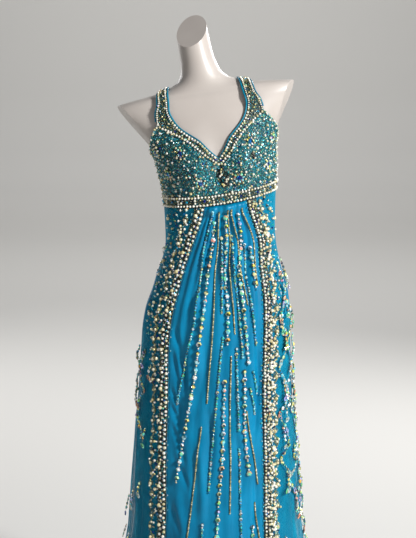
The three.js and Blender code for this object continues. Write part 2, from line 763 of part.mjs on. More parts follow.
// A box at the height of the slider, by its faces towards and away from the dress.
const boxAt = (width, height, near, far) =>
  solidOf(
    new THREE.BoxGeometry(width, far - near, height).translate(0, (near + far) / 2, SLIDER.middle),
  );
const sliderBack = shell.back(SLIDER.middle) + SLIDER.clear;
const sliderFace = sliderBack + SLIDER.thick;
const bridgeFace = sliderFace + BRIDGE.clear + BRIDGE.thick;
const opening = 2 * BRIDGE.halfOpening;
const body = boxAt(SLIDER.width, SLIDER.height, sliderBack, sliderFace);
const arch = boxAt(BRIDGE.width, opening + 2 * BRIDGE.thick, sliderFace - BRIDGE.root, bridgeFace);
const hole = boxAt(SLIDER.width, opening, sliderFace, sliderFace + BRIDGE.clear);
add("zip_slider", setOnBack(geometryOfSolid(body.add(arch.subtract(hole)))), "steel");

// The tab's outline: narrow round the eye, then a longer, wider drop. The bar above the eye
// lies under the bridge, at height 0.
function tabOutline() {
  const { width, length, bar, eyeHalf, eyeHeight } = TAB;
  const neck = eyeHalf + bar;
  const shape = new THREE.Shape();
  shape.moveTo(-neck, bar / 2);
  shape.lineTo(neck, bar / 2);
  const half = width / 2;
  const widest = -length * 0.75;
  shape.bezierCurveTo(neck, -length * 0.4, half, -length * 0.5, half, widest);
  shape.bezierCurveTo(half, -length, -half, -length, -half, widest);
  shape.bezierCurveTo(-half, -length * 0.5, -neck, -length * 0.4, -neck, bar / 2);
  const eye = new THREE.Path();
  eye.moveTo(-eyeHalf, -bar / 2);
  eye.lineTo(-eyeHalf, -bar / 2 - eyeHeight);
  eye.lineTo(eyeHalf, -bar / 2 - eyeHeight);
  eye.lineTo(eyeHalf, -bar / 2);
  eye.closePath();
  shape.holes.push(eye);
  return shape;
}
const tab = new THREE.ExtrudeGeometry(tabOutline(), {
  depth: TAB.thick,
  bevelEnabled: false,
  curveSegments: 6,
});
tab.rotateX(Math.PI / 2);
tab.translate(0, sliderFace + (BRIDGE.clear + TAB.thick) / 2, SLIDER.middle);
add("zip_pull_tab", setOnBack(tab), "steel");

// Dress form: torso, neck and shoulder stumps in one body, cut off flat.

const FORM_SIDES = 48;
const HIP_EASE = 6; // how much deeper the form lies under the skirt than under the bodice
const FORM_LEVELS = [
  770, 860, 920, 965, 1010, 1050, 1090, 1130, 1175, 1205, 1227, 1248, 1270, 1295, 1320, 1345,
  1370, 1390, 1402, 1410, 1416, 1420, 1424, 1428, 1433, 1438, 1444, 1452, 1468, 1500, 1545, 1600,
  1635,
];
// The stumps end in planes: distance from the middle at the reference height, and slopes.
const STUMP = { x: 147, height: 1312, widening: 0.54, facing: 0.28 };
// The neck ends in a slanted plane, higher at the back and at the wearer's left.
const NECK_CUT = { height: 1556, acrossSlope: 0.5, backSlope: 0.85, x: -52 };

function formRing(z) {
  const lift = SHOULDER_LIFT * smoothstep(z, 1310, 1400) * (1 - smoothstep(z, 1455, 1500));
  const ease = lerp(BODY_EASE, SHOULDER_LIFT, smoothstep(z, 1340, 1410));
  const hipEase = HIP_EASE * (1 - smoothstep(z, 900, 1100));
  return Array.from({ length: FORM_SIDES }, (_, j) => {
    const angle = (j / FORM_SIDES) * 2 * Math.PI;
    const p = onShell(angle, z + lift, -ease - hipEase);
    p.z = z;
    return p;
  });
}

const torso = solidOf(loftGeometry(FORM_LEVELS.map(formRing)));
const stumpPlane = (sign) => {
  const normal = new THREE.Vector3(-sign, STUMP.facing, STUMP.widening);
  const length = normal.length();
  const offset = (-STUMP.x + STUMP.widening * STUMP.height) / length;
  return [normal.divideScalar(length).toArray(), offset];
};
// The stumps are cut above the armpits, and the rest stays whole.
const chest = torso.trimByPlane([0, 0, -1], -STUMP.height);
const shoulders = SIDES.reduce(
  (solid, { sign }) => solid.trimByPlane(...stumpPlane(sign)),
  torso.trimByPlane([0, 0, 1], STUMP.height),
);
const trimmed = chest.add(shoulders);
const standing = solidOf(bend(geometryOfSolid(trimmed))).trimByPlane([0, 0, 1], FORM_FOOT);
const neckNormal = new THREE.Vector3(NECK_CUT.acrossSlope, NECK_CUT.backSlope, -1);
const neckOffset = -NECK_CUT.height + NECK_CUT.acrossSlope * NECK_CUT.x;
const neckLength = neckNormal.length();
const form = standing.trimByPlane(
  neckNormal.divideScalar(neckLength).toArray(),
  neckOffset / neckLength,
);
add("form_torso", geometryOfSolid(form), "form");

// A turned piece of the stand, from its foot up.
function turned(name, footRadius, topRadius, foot, height, sides) {
  const geometry = new THREE.CylinderGeometry(topRadius, footRadius, height, sides);
  geometry.rotateX(Math.PI / 2);
  geometry.translate(0, 0, foot + height / 2);
  add(name, geometry, "steel");
}

const flangeFoot = FORM_FOOT - SEAT - FLANGE_HEIGHT;
const poleFoot = BASE_HEIGHT + SEAT;
turned("form_flange", FLANGE_FOOT_RADIUS, FLANGE_RADIUS, flangeFoot, FLANGE_HEIGHT, 32);
turned("form_pole", POLE_RADIUS, POLE_RADIUS, poleFoot, flangeFoot - SEAT - poleFoot, 24);
turned("form_base", BASE_RADIUS, BASE_RADIUS - BASE_TAPER, 0, BASE_HEIGHT, 48);

export default dress;
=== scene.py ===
# %% [markdown]
# # A beaded mermaid evening dress on its form
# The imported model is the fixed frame: it says where every seam, edge and stand piece is. This
# script makes the looks around it: cloth with its creases, beads by the thousand, pearls, a
# smooth white form and a steel stand. It works in millimetres and turns them to metres once,
# where a mesh is made.

import bmesh
import bpy
import numpy as np
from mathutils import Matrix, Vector


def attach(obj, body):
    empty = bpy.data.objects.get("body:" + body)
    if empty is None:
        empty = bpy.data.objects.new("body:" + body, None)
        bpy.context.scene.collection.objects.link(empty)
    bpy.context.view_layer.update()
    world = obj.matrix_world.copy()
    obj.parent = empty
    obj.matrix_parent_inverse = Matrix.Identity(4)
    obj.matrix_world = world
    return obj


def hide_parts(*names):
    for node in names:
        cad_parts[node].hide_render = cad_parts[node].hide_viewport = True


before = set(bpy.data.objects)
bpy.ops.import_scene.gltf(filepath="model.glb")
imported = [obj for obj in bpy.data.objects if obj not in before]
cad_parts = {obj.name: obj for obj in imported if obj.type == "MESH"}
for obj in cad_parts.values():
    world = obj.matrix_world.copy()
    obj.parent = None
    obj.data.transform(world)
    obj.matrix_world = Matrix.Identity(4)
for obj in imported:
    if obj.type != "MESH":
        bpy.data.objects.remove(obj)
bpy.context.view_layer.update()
MM = 0.001


def in_scene(name, data):
    made = bpy.data.objects.new(name, data)
    bpy.context.scene.collection.objects.link(made)
    return made


# %% [markdown]
# ## Camera
# The photo looks slightly down at the dress from about three metres, with a long lens, so
# that the shoulders and the skirt keep their true proportions. The frame cuts the skirt off
# below the knee; the hem and the stand are still there, below the picture.

# %% Place the camera
LOOK_AT = Vector((-16.45, 0, 1005)) * MM
CAMERA_DISTANCE = 3000 * MM
CAMERA_PITCH = np.radians(9)
LENS = 85.42
back_to_camera = Vector((0, -np.cos(CAMERA_PITCH), np.sin(CAMERA_PITCH)))
camera = in_scene("camera", bpy.data.cameras.new("camera"))
camera.data.lens = LENS
camera.location = LOOK_AT + back_to_camera * CAMERA_DISTANCE
camera.rotation_mode = "QUATERNION"
camera.rotation_quaternion = (-back_to_camera).to_track_quat("-Z", "Y")
bpy.context.scene.camera = camera
bpy.context.scene.view_settings.view_transform = "Standard"
print("camera at", tuple(round(v, 3) for v in camera.location))

# %% [markdown]
# ## The pattern
# A dress is drafted from sections of the body. Each row of the first table is one section at
# its height: half width, depth in front and behind, and how square the oval is. A smooth
# curve runs through each column. The whole is drawn upright and then bent into the stance of
# the form, so that left and right are cut alike but hang as the photo shows.

# %% Tables of the pattern, in millimetres
# height, half width, front, back, squareness
SHELL = [
    (0, 404, 384, 436, 2.0), (60, 352, 332, 378, 2.0), (120, 304, 282, 322, 2.0),
    (200, 252, 228, 262, 2.0), (280, 217, 190, 219, 2.0), (343, 200, 168, 194, 2.0),
    (430, 192, 152, 172, 2.0), (515, 188, 141, 158, 2.05), (602, 183, 132, 148, 2.1),
    (688, 178, 125, 141, 2.1), (786, 175, 118, 136, 2.15), (871, 172, 112, 133, 2.2),
    (931, 165, 107, 127, 2.2), (1007, 143, 98, 108, 2.2), (1093, 127, 90, 86, 2.2),
    (1165, 129, 94, 84, 2.2), (1191, 131, 97, 86, 2.2), (1248, 137, 99, 90, 2.2),
    (1284, 142, 97, 92, 2.25), (1310, 151, 92, 91, 2.3), (1340, 170, 84, 86, 2.35),
    (1363, 188, 76, 78, 2.4), (1385, 210, 67, 69, 2.4), (1402, 223, 61, 63, 2.4),
    (1412, 220, 57, 59, 2.4), (1419, 200, 53, 56, 2.4), (1424, 162, 51, 54, 2.4),
    (1429, 122, 49, 52, 2.2), (1437, 86, 47, 50, 2.1), (1449, 62, 46, 48, 2.0),
    (1467, 48, 45, 46, 2.0), (1500, 41, 44, 45, 2.0), (1545, 39, 44, 45, 2.0),
    (1640, 38, 44, 45, 2.0),
]
# height, shift sideways in mm, roll and turn in degrees
STANCE = [
    (0, 0, 0, 0), (600, 0, 0, 0), (786, 1, 2, 0), (871, 2, 4, 1), (931, 3, 6, 3),
    (1007, 6, 8, 5), (1093, 12, 8.5, 8), (1191, 11, 8.5, 8), (1266, 3, 8.5, 3),
    (1330, -7, 8.5, 1.5), (1410, -22, 8.5, 0), (1450, -31, 8.5, 0), (1500, -43, 8.5, 0),
    (1545, -52, 8.5, 0), (1640, -70, 8.5, 0),
]
# height, half angle of the centre front panel in degrees
CENTRE_PANEL = [
    (0, 35), (900, 36.5), (1000, 36.5), (1060, 35.5), (1110, 28), (1150, 21), (1200, 18),
]
# distance from the middle and height: neckline, then the band's other edge
FRONT_NECK_BAND = [
    (0.4, 1273, 0.4, 1251), (19, 1296, 32, 1280), (33, 1315.5, 50, 1301), (53, 1333, 72, 1322),
    (69, 1348, 97, 1342), (80, 1366, 122, 1361), (85, 1385, 118, 1385), (83, 1404, 110, 1404),
]
BACK_NECK_BAND = [
    (2.6, 1262, 2.6, 1236), (24, 1288, 36, 1264), (44, 1314, 62, 1294), (61, 1340, 90, 1324),
    (73, 1366, 116, 1352), (79, 1388, 114, 1382), (80, 1406, 108, 1405),
]
FRONT_ARMHOLE = [(122, 1360.4), (137, 1341), (146, 1320), (148, 1302)]
BACK_ARMHOLE = [(116, 1351.4), (134, 1336), (145, 1316), (148, 1300)]
# row of each band's table at the corner of the armhole, where the strap starts
FRONT_CORNER, BACK_CORNER = 5, 4
SHOULDER_IN, SHOULDER_OUT = 78, 104
STRAP_PIVOT = 1330
STRAP_STAND = 7
UNDERARM = 1288
CUP_X, CUP_Z = 61, 1246
CUP_WIDTH, CUP_ABOVE, CUP_BELOW, CUP_DEPTH = 46, 56, 38, 25
CUP_FADE = 0.35  # the swell of the cups dies out towards the sides
WAIST = 1093
BAND_MIDDLE, BAND_HEIGHT, BAND_RISE = 1179, 26, 8
HEM = 14
SIDE_SEAM, BACK_SEAM = 90, 112  # degrees from the centre front
BORDER_WIDTH = 24
BINDING_WIDTH = 4.5
ZIP_HALF, ZIP_FOOT, ZIP_TOP = 2.2, 925, 1256
SEAM = 0.18  # every panel stops this far from the line of its seam
SIDES = (("left", 1), ("right", -1))  # the wearer's left is the side of positive x
print("pattern:", len(SHELL), "sections from floor to neck")


# %% [markdown]
# ## Curves through the tables
# A cubic that keeps to its points without overshoot gives a hip that swells and a waist that
# draws in, with no bumps between the rows. Numpy works on whole sheets of points at once,
# which keeps the script fast.

# %% Curves and surfaces of the pattern
def column(rows, key):
    heights = np.array([row[0] for row in rows], float)
    values = np.array([row[key] for row in rows], float)
    slopes = np.diff(values) / np.diff(heights)
    product = slopes[:-1] * slopes[1:]
    tangents = np.concatenate([[slopes[0]], np.zeros(len(rows) - 2), [slopes[-1]]])
    same_way = product > 0
    total = np.where(same_way, slopes[:-1] + slopes[1:], 1)
    tangents[1:-1] = np.where(same_way, 2 * product / total, 0)

    def at(height):
        height = np.clip(height, heights[0], heights[-1])
        i = np.clip(np.searchsorted(heights, height) - 1, 0, len(heights) - 2)
        step = heights[i + 1] - heights[i]
        t = (height - heights[i]) / step
        rise = (3 - 2 * t) * t * t
        bend = step * t * (1 - t)
        ends = (1 - rise) * values[i] + rise * values[i + 1]
        return ends + bend * ((1 - t) * tangents[i] - t * tangents[i + 1])

    return at


half_width, front_depth, back_depth, squareness = (column(SHELL, k) for k in (1, 2, 3, 4))
shift, roll, turn = (column(STANCE, k) for k in (1, 2, 3))
centre_panel = column(CENTRE_PANEL, 1)


def smooth(x, low, high):
    t = np.clip((x - low) / (high - low), 0, 1)
    return t * t * (3 - 2 * t)


def lerp(a, b, t):
    return a + (b - a) * t


def cup(x, z):
    across = (np.abs(x) - CUP_X) / CUP_WIDTH
    up = (z - CUP_Z) / np.where(z > CUP_Z, CUP_ABOVE, CUP_BELOW)
    return CUP_DEPTH * np.exp(-across**2 - up**2)


def on_shell(angle, z, out=0):
    power = 2 / squareness(z)
    s, c = np.sin(angle), np.cos(angle)
    x = np.sign(s) * (half_width(z) + out) * np.abs(s) ** power
    swell = np.where(c > 0, cup(x, z) * smooth(c, 0, CUP_FADE), 0)
    depth = np.where(c > 0, front_depth(z), back_depth(z)) + out
    y = -np.sign(c) * depth * np.abs(c) ** power - swell
    return np.stack(np.broadcast_arrays(x, y, z), -1).astype(float)


def posed(p):
    turned, rolled = np.radians(turn(p[..., 2])), np.radians(roll(p[..., 2]))
    x = p[..., 0] * np.cos(turned) - p[..., 1] * np.sin(turned)
    y = p[..., 0] * np.sin(turned) + p[..., 1] * np.cos(turned)
    return np.stack([shift(p[..., 2]) + x * np.cos(rolled), y, p[..., 2] + x * np.sin(rolled)], -1)


def unit(v):
    return v / np.maximum(np.linalg.norm(v, axis=-1, keepdims=True), 1e-9)


waist_width, hem_width = (round(float(half_width(z)) * 2) for z in (WAIST, HEM))
print("waist", waist_width, "mm wide, hem", hem_width, "mm wide")


# %% [markdown]
# ## Folds and creases of the skirt
# Satin that is gathered under the bust falls in soft pipes, and the flared hem swings in
# waves. Those follow a rule. The creases don't: a seamstress sees where the weight of the
# beads pulls the cloth, so each one is a row of its own with two ends, a depth and a width,
# all uneven. Negative depths are troughs and positive ones are ridges.

# %% Creases: from angle and height, to angle and height, depth, width
CREASES = [
    (-35, 905, -23, 700, -3.4, 8), (-36, 850, -27, 640, -2.8, 7), (-36, 752, -25, 655, -3.0, 5),
    (-36, 712, -23, 612, -3.4, 6), (-35, 664, -21, 560, -2.6, 6), (-20, 985, -15, 760, 3.2, 11),
    (-11, 905, -13, 690, -2.8, 8), (-5, 705, -8, 500, -3.2, 9), (-14, 640, -10, 420, 2.8, 12),
    (7, 770, 4, 560, -2.8, 9), (21, 905, 18, 640, 2.6, 11), (31, 845, 26, 600, -2.9, 7),
    (28, 560, 22, 330, -2.8, 9), (-28, 500, -22, 250, 2.9, 13), (14, 640, 17, 470, -2.4, 8),
    (-31, 585, -18, 500, -2.4, 6), (-33, 470, -24, 395, -2.2, 7), (33, 740, 25, 655, -2.2, 6),
    (-17, 1100, -22, 930, -3.0, 7), (13, 1090, 19, 935, -2.6, 7), (2, 1080, 1, 940, -2.0, 6),
    (-78, 1085, -60, 905, -3.2, 10), (-95, 1060, -84, 850, 3.0, 13), (-64, 830, -58, 560, -3.0, 11),
    (-88, 720, -82, 400, 3.4, 15), (-101, 900, -98, 620, -2.8, 12), (-70, 500, -66, 260, -2.6, 12),
    (76, 1080, 58, 900, -3.0, 10), (94, 1065, 86, 840, 3.2, 12), (62, 820, 60, 540, -2.8, 10),
    (86, 700, 80, 390, 3.2, 16), (101, 890, 97, 600, -3.0, 12), (71, 480, 68, 250, -2.4, 11),
    (118, 1060, 132, 900, -3.4, 11), (141, 880, 136, 650, 3.2, 14), (163, 905, 158, 660, -3.0, 10),
    (150, 700, 147, 430, -2.8, 13), (171, 600, 168, 350, 2.8, 13), (125, 560, 122, 280, -2.6, 12),
    (-120, 1065, -131, 890, -3.2, 10), (-144, 900, -138, 640, 3.0, 14),
    (-165, 880, -159, 640, -2.8, 11), (-152, 690, -148, 420, -3.0, 12),
    (-172, 640, -169, 380, 2.6, 13), (-127, 540, -123, 300, -2.8, 12),
    (-178, 910, -140, 850, -2.2, 8), (178, 915, 143, 845, -2.4, 8),
    (-150, 1040, -128, 985, -2.2, 7), (152, 1050, 130, 990, -2.0, 7),
    (-48, 1010, -72, 930, -2.0, 7), (50, 1015, 70, 940, -2.2, 7),
]
PRESS = 1.8  # how hard the creases of the table are pressed in
BOW = 0.06  # how far a crease bows, as a share of its length
CREASE_START, CREASE_END = (-0.05, 0.25), (0.65, 1.05)  # shares in which it comes and goes


def creases(angle, z):
    angle, z = np.broadcast_arrays(np.asarray(angle, float), np.asarray(z, float))
    out = np.zeros(angle.shape)
    radius = half_width(z)
    for a0, z0, a1, z1, depth, width in CREASES:
        start = np.radians(a0) * half_width(z0)
        along = np.array([np.radians(a1) * half_width(z1) - start, z1 - z0])
        length = np.hypot(*along)
        x, y = angle * radius - start, z - z0
        t = (x * along[0] + y * along[1]) / length**2
        bow = BOW * length * np.sin(np.pi * np.clip(t, 0, 1))
        off = (x * along[1] - y * along[0]) / length + bow
        taper = smooth(t, *CREASE_START) * (1 - smooth(t, *CREASE_END))
        out = out + PRESS * depth * taper * np.exp(-((off / width) ** 2))
    return out


# %% Gathers, hem waves and the puff under the bust band
GATHERS, GATHER_DEPTH = 8, 6
OPEN_SHARE, OPEN_BELOW, FULL_ABOVE = 0.28, 640, 1120  # gathers open out down the skirt
PINCH_SHARE, PINCH_FROM, PINCH_TO = 0.25, 1128, 1150  # and lie flat where they are sewn in
RISE_FROM, RISE_FULL = 960, 1165
FLARE_WAVES, FLARE_DEPTH, FLARE_START = 16, 24, 470
PUFF_DEPTH, PUFF_DROP, PUFF_WIDTH = 12, 10, 8


def band_rise(angle):
    return BAND_RISE * np.sin(angle) ** 2


def follow_band(angle, z):
    # The top of the skirt rises towards the sides with the band that it hangs from.
    return z + band_rise(angle) * smooth(z, RISE_FROM, RISE_FULL)


def fold(angle, z):
    share = angle / np.radians(centre_panel(z))
    inside = np.abs(share) < 1
    depth = lerp(OPEN_SHARE, 1, smooth(z, OPEN_BELOW, FULL_ABOVE)) * GATHER_DEPTH
    depth = depth * lerp(1, PINCH_SHARE, smooth(z, PINCH_FROM, PINCH_TO))
    pipe = 0.5 + 0.5 * np.cos(share * GATHERS * np.pi)
    out = np.where(inside, depth * pipe * (1 - share**4), 0)
    flare = 1 - smooth(z, 0, FLARE_START)
    # no wave of the hem is quite like the next
    uneven = 1 + 0.22 * np.sin(3 * angle + 0.7) + 0.15 * np.cos(5 * angle)
    wave = np.cos(FLARE_WAVES * angle + 0.4 * np.sin(2 * angle))
    return out + FLARE_DEPTH * flare**1.5 * uneven * wave


def puff(angle, z):
    share = angle / np.radians(centre_panel(z))
    below = (BAND_MIDDLE - BAND_HEIGHT / 2 + band_rise(angle) - PUFF_DROP - z) / PUFF_WIDTH
    ends = np.clip(1 - share**2, 0, 1)
    return PUFF_DEPTH * ends * np.exp(-(below**2)) * (1 + 0.3 * np.sin(9 * share + 1))


def on_skirt(angle, z, lift=0):
    return on_shell(angle, z, fold(angle, z) + creases(angle, z) + puff(angle, z) + lift)


print("creases placed by hand:", len(CREASES))


# %% [markdown]
# ## Meshes from sheets of points
# Every cloth piece is a sheet of points in rows and columns. Solidify gives it a thin wall,
# inward, so that the outside stays where the pattern puts it. The sheet's UV map is in metres
# of cloth, so that a weave has its real size on every piece.

# %% Turn a sheet of points into a mesh
def facing(points, middle):
    rough = np.cross(np.gradient(points, axis=1), np.gradient(points, axis=0))
    return 1 if np.sum(rough * (points - middle)) > 0 else -1


def body_middle(points):
    z = points[..., 2]
    return np.stack([shift(z), 0 * z, z], -1)


def lengths(points, axis):
    steps = np.linalg.norm(np.diff(points, axis=axis), axis=-1)
    pad = [(1, 0) if k == axis else (0, 0) for k in (0, 1)]
    return np.cumsum(np.pad(steps, pad), axis=axis)


def sheet_mesh(name, points, middle=None, cover=None):
    rows, columns = points.shape[:2]
    side = facing(points, body_middle(points) if middle is None else middle)
    index = np.arange(rows * columns).reshape(rows, columns)
    corners = [index[:-1, :-1], index[:-1, 1:], index[1:, 1:], index[1:, :-1]]
    faces = np.stack(corners[::side], -1).reshape(-1, 4)
    mesh = bpy.data.meshes.new(name)
    mesh.from_pydata((points.reshape(-1, 3) * MM).tolist(), [], faces.tolist())
    uv = np.stack([lengths(points, 1), lengths(points, 0)], -1).reshape(-1, 2) * MM
    corner_vertex = np.zeros(len(mesh.loops), int)
    mesh.loops.foreach_get("vertex_index", corner_vertex)
    mesh.uv_layers.new(name="cloth").data.foreach_set("uv", uv[corner_vertex].ravel())
    if cover is not None:
        spread = np.broadcast_to(np.asarray(cover, float), (rows, columns))
        mesh.attributes.new("cover", "FLOAT", "POINT").data.foreach_set("value", spread.ravel())
    mesh.shade_smooth()
    return in_scene(name, mesh)


# %% Give every piece its finish and body, and print the size of its cut
def set_finish(piece, finish):
    piece.data.materials.clear()
    piece.data.materials.append(finish)


def dress_piece(piece, finish=None, replaces=()):
    if finish is not None:
        set_finish(piece, finish)
    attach(piece, "dress")
    if replaces:
        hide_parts(*replaces)
    return piece


NARROWEST_CUT = 10.2


def cut_size(points):
    width = lengths(points, 1)[:, -1].max() * MM
    length = lengths(points, 0)[-1].max() * MM
    across = np.diff(points, axis=1)[:-1]
    down = np.diff(points, axis=0)[:, :-1]
    area = np.linalg.norm(np.cross(across, down), axis=-1).sum() * MM * MM
    return width, length, min(area, width * length)


def cloth_piece(name, points, wall, finish, replaces, middle=None):
    piece = sheet_mesh(name, points, middle)
    body = piece.modifiers.new("wall", "SOLIDIFY")
    body.thickness = wall * MM
    body.offset = -1
    body.use_even_offset = False
    dress_piece(piece, finish, replaces=replaces)
    width, length, area = cut_size(points)
    # A narrow edging is cut wider and folded round its cord, so only part of the cut shows.
    width = max(width, NARROWEST_CUT * MM)
    print(f"{name}: cut {width:.3f} x {length:.3f} m, {area:.4f} square metres")
    return piece


# %% [markdown]
# ## Finishes
# Each material starts from what the real one is. Small helpers add a node with its settings
# and links. Colours are written as sRGB hex, the way a dye chart gives them, and turned to
# linear light in one place.

# %% Helpers for materials
def linear(hex_colour):
    parts = [int(hex_colour[i : i + 2], 16) / 255 for i in (1, 3, 5)]
    return (*[c / 12.92 if c <= 0.04045 else ((c + 0.055) / 1.055) ** 2.4 for c in parts], 1)


def add(tree, kind, inputs=None, **settings):
    made = tree.nodes.new(kind)
    for key, value in settings.items():
        setattr(made, key, value)
    for key, value in (inputs or {}).items():
        socket = made.inputs[key]
        if isinstance(value, bpy.types.NodeSocket):
            tree.links.new(value, socket)
        else:
            socket.default_value = value
    return made


def ramp(tree, fac, stops, interpolation="LINEAR"):
    made = add(tree, "ShaderNodeValToRGB", {"Fac": fac})
    made.color_ramp.interpolation = interpolation
    while len(made.color_ramp.elements) < len(stops):
        made.color_ramp.elements.new(0.5)
    for element, (place, colour) in zip(made.color_ramp.elements, stops):
        element.position = place
        element.color = linear(colour)
    return made.outputs["Color"]


def maths(tree, operation, *values):
    return add(tree, "ShaderNodeMath", dict(enumerate(values)), operation=operation).outputs[0]


def noise(tree, vector, size, detail, **inputs):
    # Soft blots, about size millimetres across.
    made = add(tree, "ShaderNodeTexNoise", {
        "Vector": vector, "Scale": 1 / (size * MM), "Detail": detail, **inputs})
    return made.outputs["Fac"]


def stretched(tree, vector, upwards):
    made = add(tree, "ShaderNodeMapping", {"Vector": vector, "Scale": (1, 1, upwards)})
    return made.outputs["Vector"]


def between(tree, value, low, high):
    made = add(tree, "ShaderNodeMapRange", {"Value": value, "To Min": low, "To Max": high})
    return made.outputs["Result"]


def bumped(tree, height, strength, distance, **inputs):
    made = add(tree, "ShaderNodeBump", {
        "Height": height, "Strength": strength, "Distance": distance, **inputs})
    return made.outputs["Normal"]


def new_finish(name):
    finish = bpy.data.materials.new(name)
    finish.use_nodes = True
    finish.node_tree.nodes.clear()
    tree = finish.node_tree
    shader = add(tree, "ShaderNodeBsdfPrincipled")
    add(tree, "ShaderNodeOutputMaterial", {"Surface": shader.outputs["BSDF"]})
    return finish, tree, shader


def set_inputs(tree, shader, **values):
    for key, value in values.items():
        socket = shader.inputs[key.replace("_", " ")]
        if isinstance(value, bpy.types.NodeSocket):
            tree.links.new(value, socket)
        else:
            socket.default_value = value


# %% [markdown]
# ## Satin, net and piping
# Satin is a weave with long floats: it is smooth one way and shines softly, with a sheen at
# the edges of its folds. Its threads are about 0.25 mm, too fine for the render, so the weave
# is drawn at 1.2 mm and kept faint. Long soft crinkles, two centimetres across, show more.

# %% Satin of the skirt
THREAD = 1.2 * MM  # real threads are finer: drawn coarse enough to show
CRINKLE = 24


def satin(name, light, dark, rough, crinkle):
    finish, tree, shader = new_finish(name)
    place = add(tree, "ShaderNodeTexCoord").outputs
    colour = ramp(tree, noise(tree, place["Object"], 90, 3.0), [(0.32, dark), (0.68, light)])
    crumple = noise(tree, stretched(tree, place["Object"], 0.28), CRINKLE, 2.0,
                    Roughness=0.45, Distortion=0.4)
    weave = add(tree, "ShaderNodeTexWave", {
        "Vector": place["UV"], "Scale": 1 / THREAD / 3, "Distortion": 1.5, "Detail": 1.0},
        bands_direction="DIAGONAL")
    soft = bumped(tree, crumple, crinkle, 0.004)
    set_inputs(tree, shader, Base_Color=colour,
               Roughness=between(tree, crumple, rough - 0.06, rough + 0.1),
               Normal=bumped(tree, weave.outputs["Fac"], 0.05, 0.0005, Normal=soft),
               Sheen_Weight=0.05, Sheen_Roughness=0.3, Sheen_Tint=linear("#2fc4f0"),
               Specular_IOR_Level=0.28)
    return finish


# turquoise polyester satin under one layer of chiffon: soft shine, crumpled
skirt_satin = satin("turquoise_satin", "#008cba", "#0076a0", 0.34, 0.6)
# the same cloth cut on the bias and folded over a cord: smoother and tighter
piping_satin = satin("satin_piping", "#0892b0", "#046a86", 0.32, 0.2)


# %% Net grounds and the sheer overlay
def bead_ground(name, light, dark):
    # embroidered net with the thread of thousands of beads on it: dull and uneven
    finish, tree, shader = new_finish(name)
    place = add(tree, "ShaderNodeTexCoord").outputs["Object"]
    cells = add(tree, "ShaderNodeTexVoronoi", {"Vector": place, "Scale": 1 / (2.4 * MM)})
    colour = ramp(tree, noise(tree, place, 16, 4.0), [(0.35, dark), (0.65, light)])
    set_inputs(tree, shader, Base_Color=colour, Roughness=0.45, Sheen_Weight=0.15,
               Normal=bumped(tree, cells.outputs["Distance"], 0.7, 0.001))
    return finish


cup_ground = bead_ground("beaded_net_teal", "#0c5a68", "#03262c")
band_ground = bead_ground("beaded_net_dark", "#12373c", "#05171b")


def sheer_net(name):
    # silk net: the threads are opaque and the air between them isn't, which at this distance
    # reads as a veil that thickens where it turns edge-on
    finish, tree, shader = new_finish(name)
    edge = add(tree, "ShaderNodeLayerWeight", {"Blend": 0.3})
    streak = noise(tree, add(tree, "ShaderNodeTexCoord").outputs["UV"], 30, 3.0)
    set_inputs(tree, shader, Roughness=0.7, Specular_IOR_Level=0.15,
               Base_Color=ramp(tree, streak, [(0.3, "#0684a4"), (0.7, "#12a8c8")]),
               Alpha=between(tree, edge.outputs["Facing"], 0.2, 0.8))
    return finish


overlay_net = sheer_net("teal_silk_net")


# %% [markdown]
# ## Beads
# A pearl bead is acrylic under nacre lacquer: a clear gloss over a soft cream body. Seeds are
# tiny glass beads, gold-lined or teal. Cut crystals carry an aurora coating that throws
# another colour from every facet, so their colour comes from a tint that each bead carries.
# Over that tint their facets are painted: some dark, as painted shade, the others as painted
# glints in the coating's colours.

# %% Bead finishes
# painted facets of a cut bead: dark ones are painted shade, light and coloured ones painted glints,
# each from its share of the facets on
PAINTED_FACET_GLINTS = [
    (0.0, "#0e2a32"), (0.24, "#7fdcea"), (0.38, "#ffffff"), (0.58, "#ffee7c"),
    (0.7, "#ffffff"), (0.8, "#8ff0b4"), (0.86, "#ffa890"), (0.91, "#2c5660"),
]
# the turn moves the painted glints and painted shade on by a bead's tint
PAINTED_GLINT_TURN = 7.3  # moves the flashes on by a bead's tint, so that no two beads match


def bead_finish(name, stops, rough, metal, coat, cut=0.0):
    finish, tree, shader = new_finish(name)
    tint = add(tree, "ShaderNodeAttribute", attribute_name="tint").outputs["Fac"]
    colour = ramp(tree, tint, stops, "CONSTANT")
    # cut is how strongly painted shade and painted glints are laid over the facets
    if cut:
        facet = add(tree, "ShaderNodeAttribute", attribute_name="facet").outputs["Fac"]
        # each facet is painted darker or tinted: painted shade and painted glints, not lamps
        share = maths(tree, "FRACT", maths(tree, "MULTIPLY_ADD", tint, PAINTED_GLINT_TURN, facet))
        painted_glint = ramp(tree, share, PAINTED_FACET_GLINTS, "CONSTANT")
        mixed = add(tree, "ShaderNodeMix", {0: cut, 6: colour, 7: painted_glint}, data_type="RGBA",
                    blend_type="MULTIPLY")
        colour = mixed.outputs[2]
    set_inputs(tree, shader, Base_Color=colour, Roughness=rough, Metallic=metal,
               Coat_Weight=coat, Coat_Roughness=0.05)
    return finish


# acrylic pearls with nacre lacquer: cream to champagne
pearl = bead_finish("pearl_lacquer", [
    (0.0, "#fffbec"), (0.35, "#f4ecd0"), (0.6, "#faf5ea"), (0.85, "#ddd2a4")], 0.16, 0.0, 1.0)
# larger gold pearls
gold_pearl = bead_finish("gold_pearl_lacquer", [
    (0.0, "#f6eabe"), (0.5, "#e6d7a0"), (0.8, "#fff8dc")], 0.14, 0.1, 1.0)
# silver-lined olive gold glass seeds
gold_seed = bead_finish("gold_lined_glass", [
    (0.0, "#9a9766"), (0.3, "#b8b27c"), (0.55, "#74744e"), (0.75, "#d6cc98"),
    (0.93, "#fbf4d4")], 0.25, 0.3, 0.5)
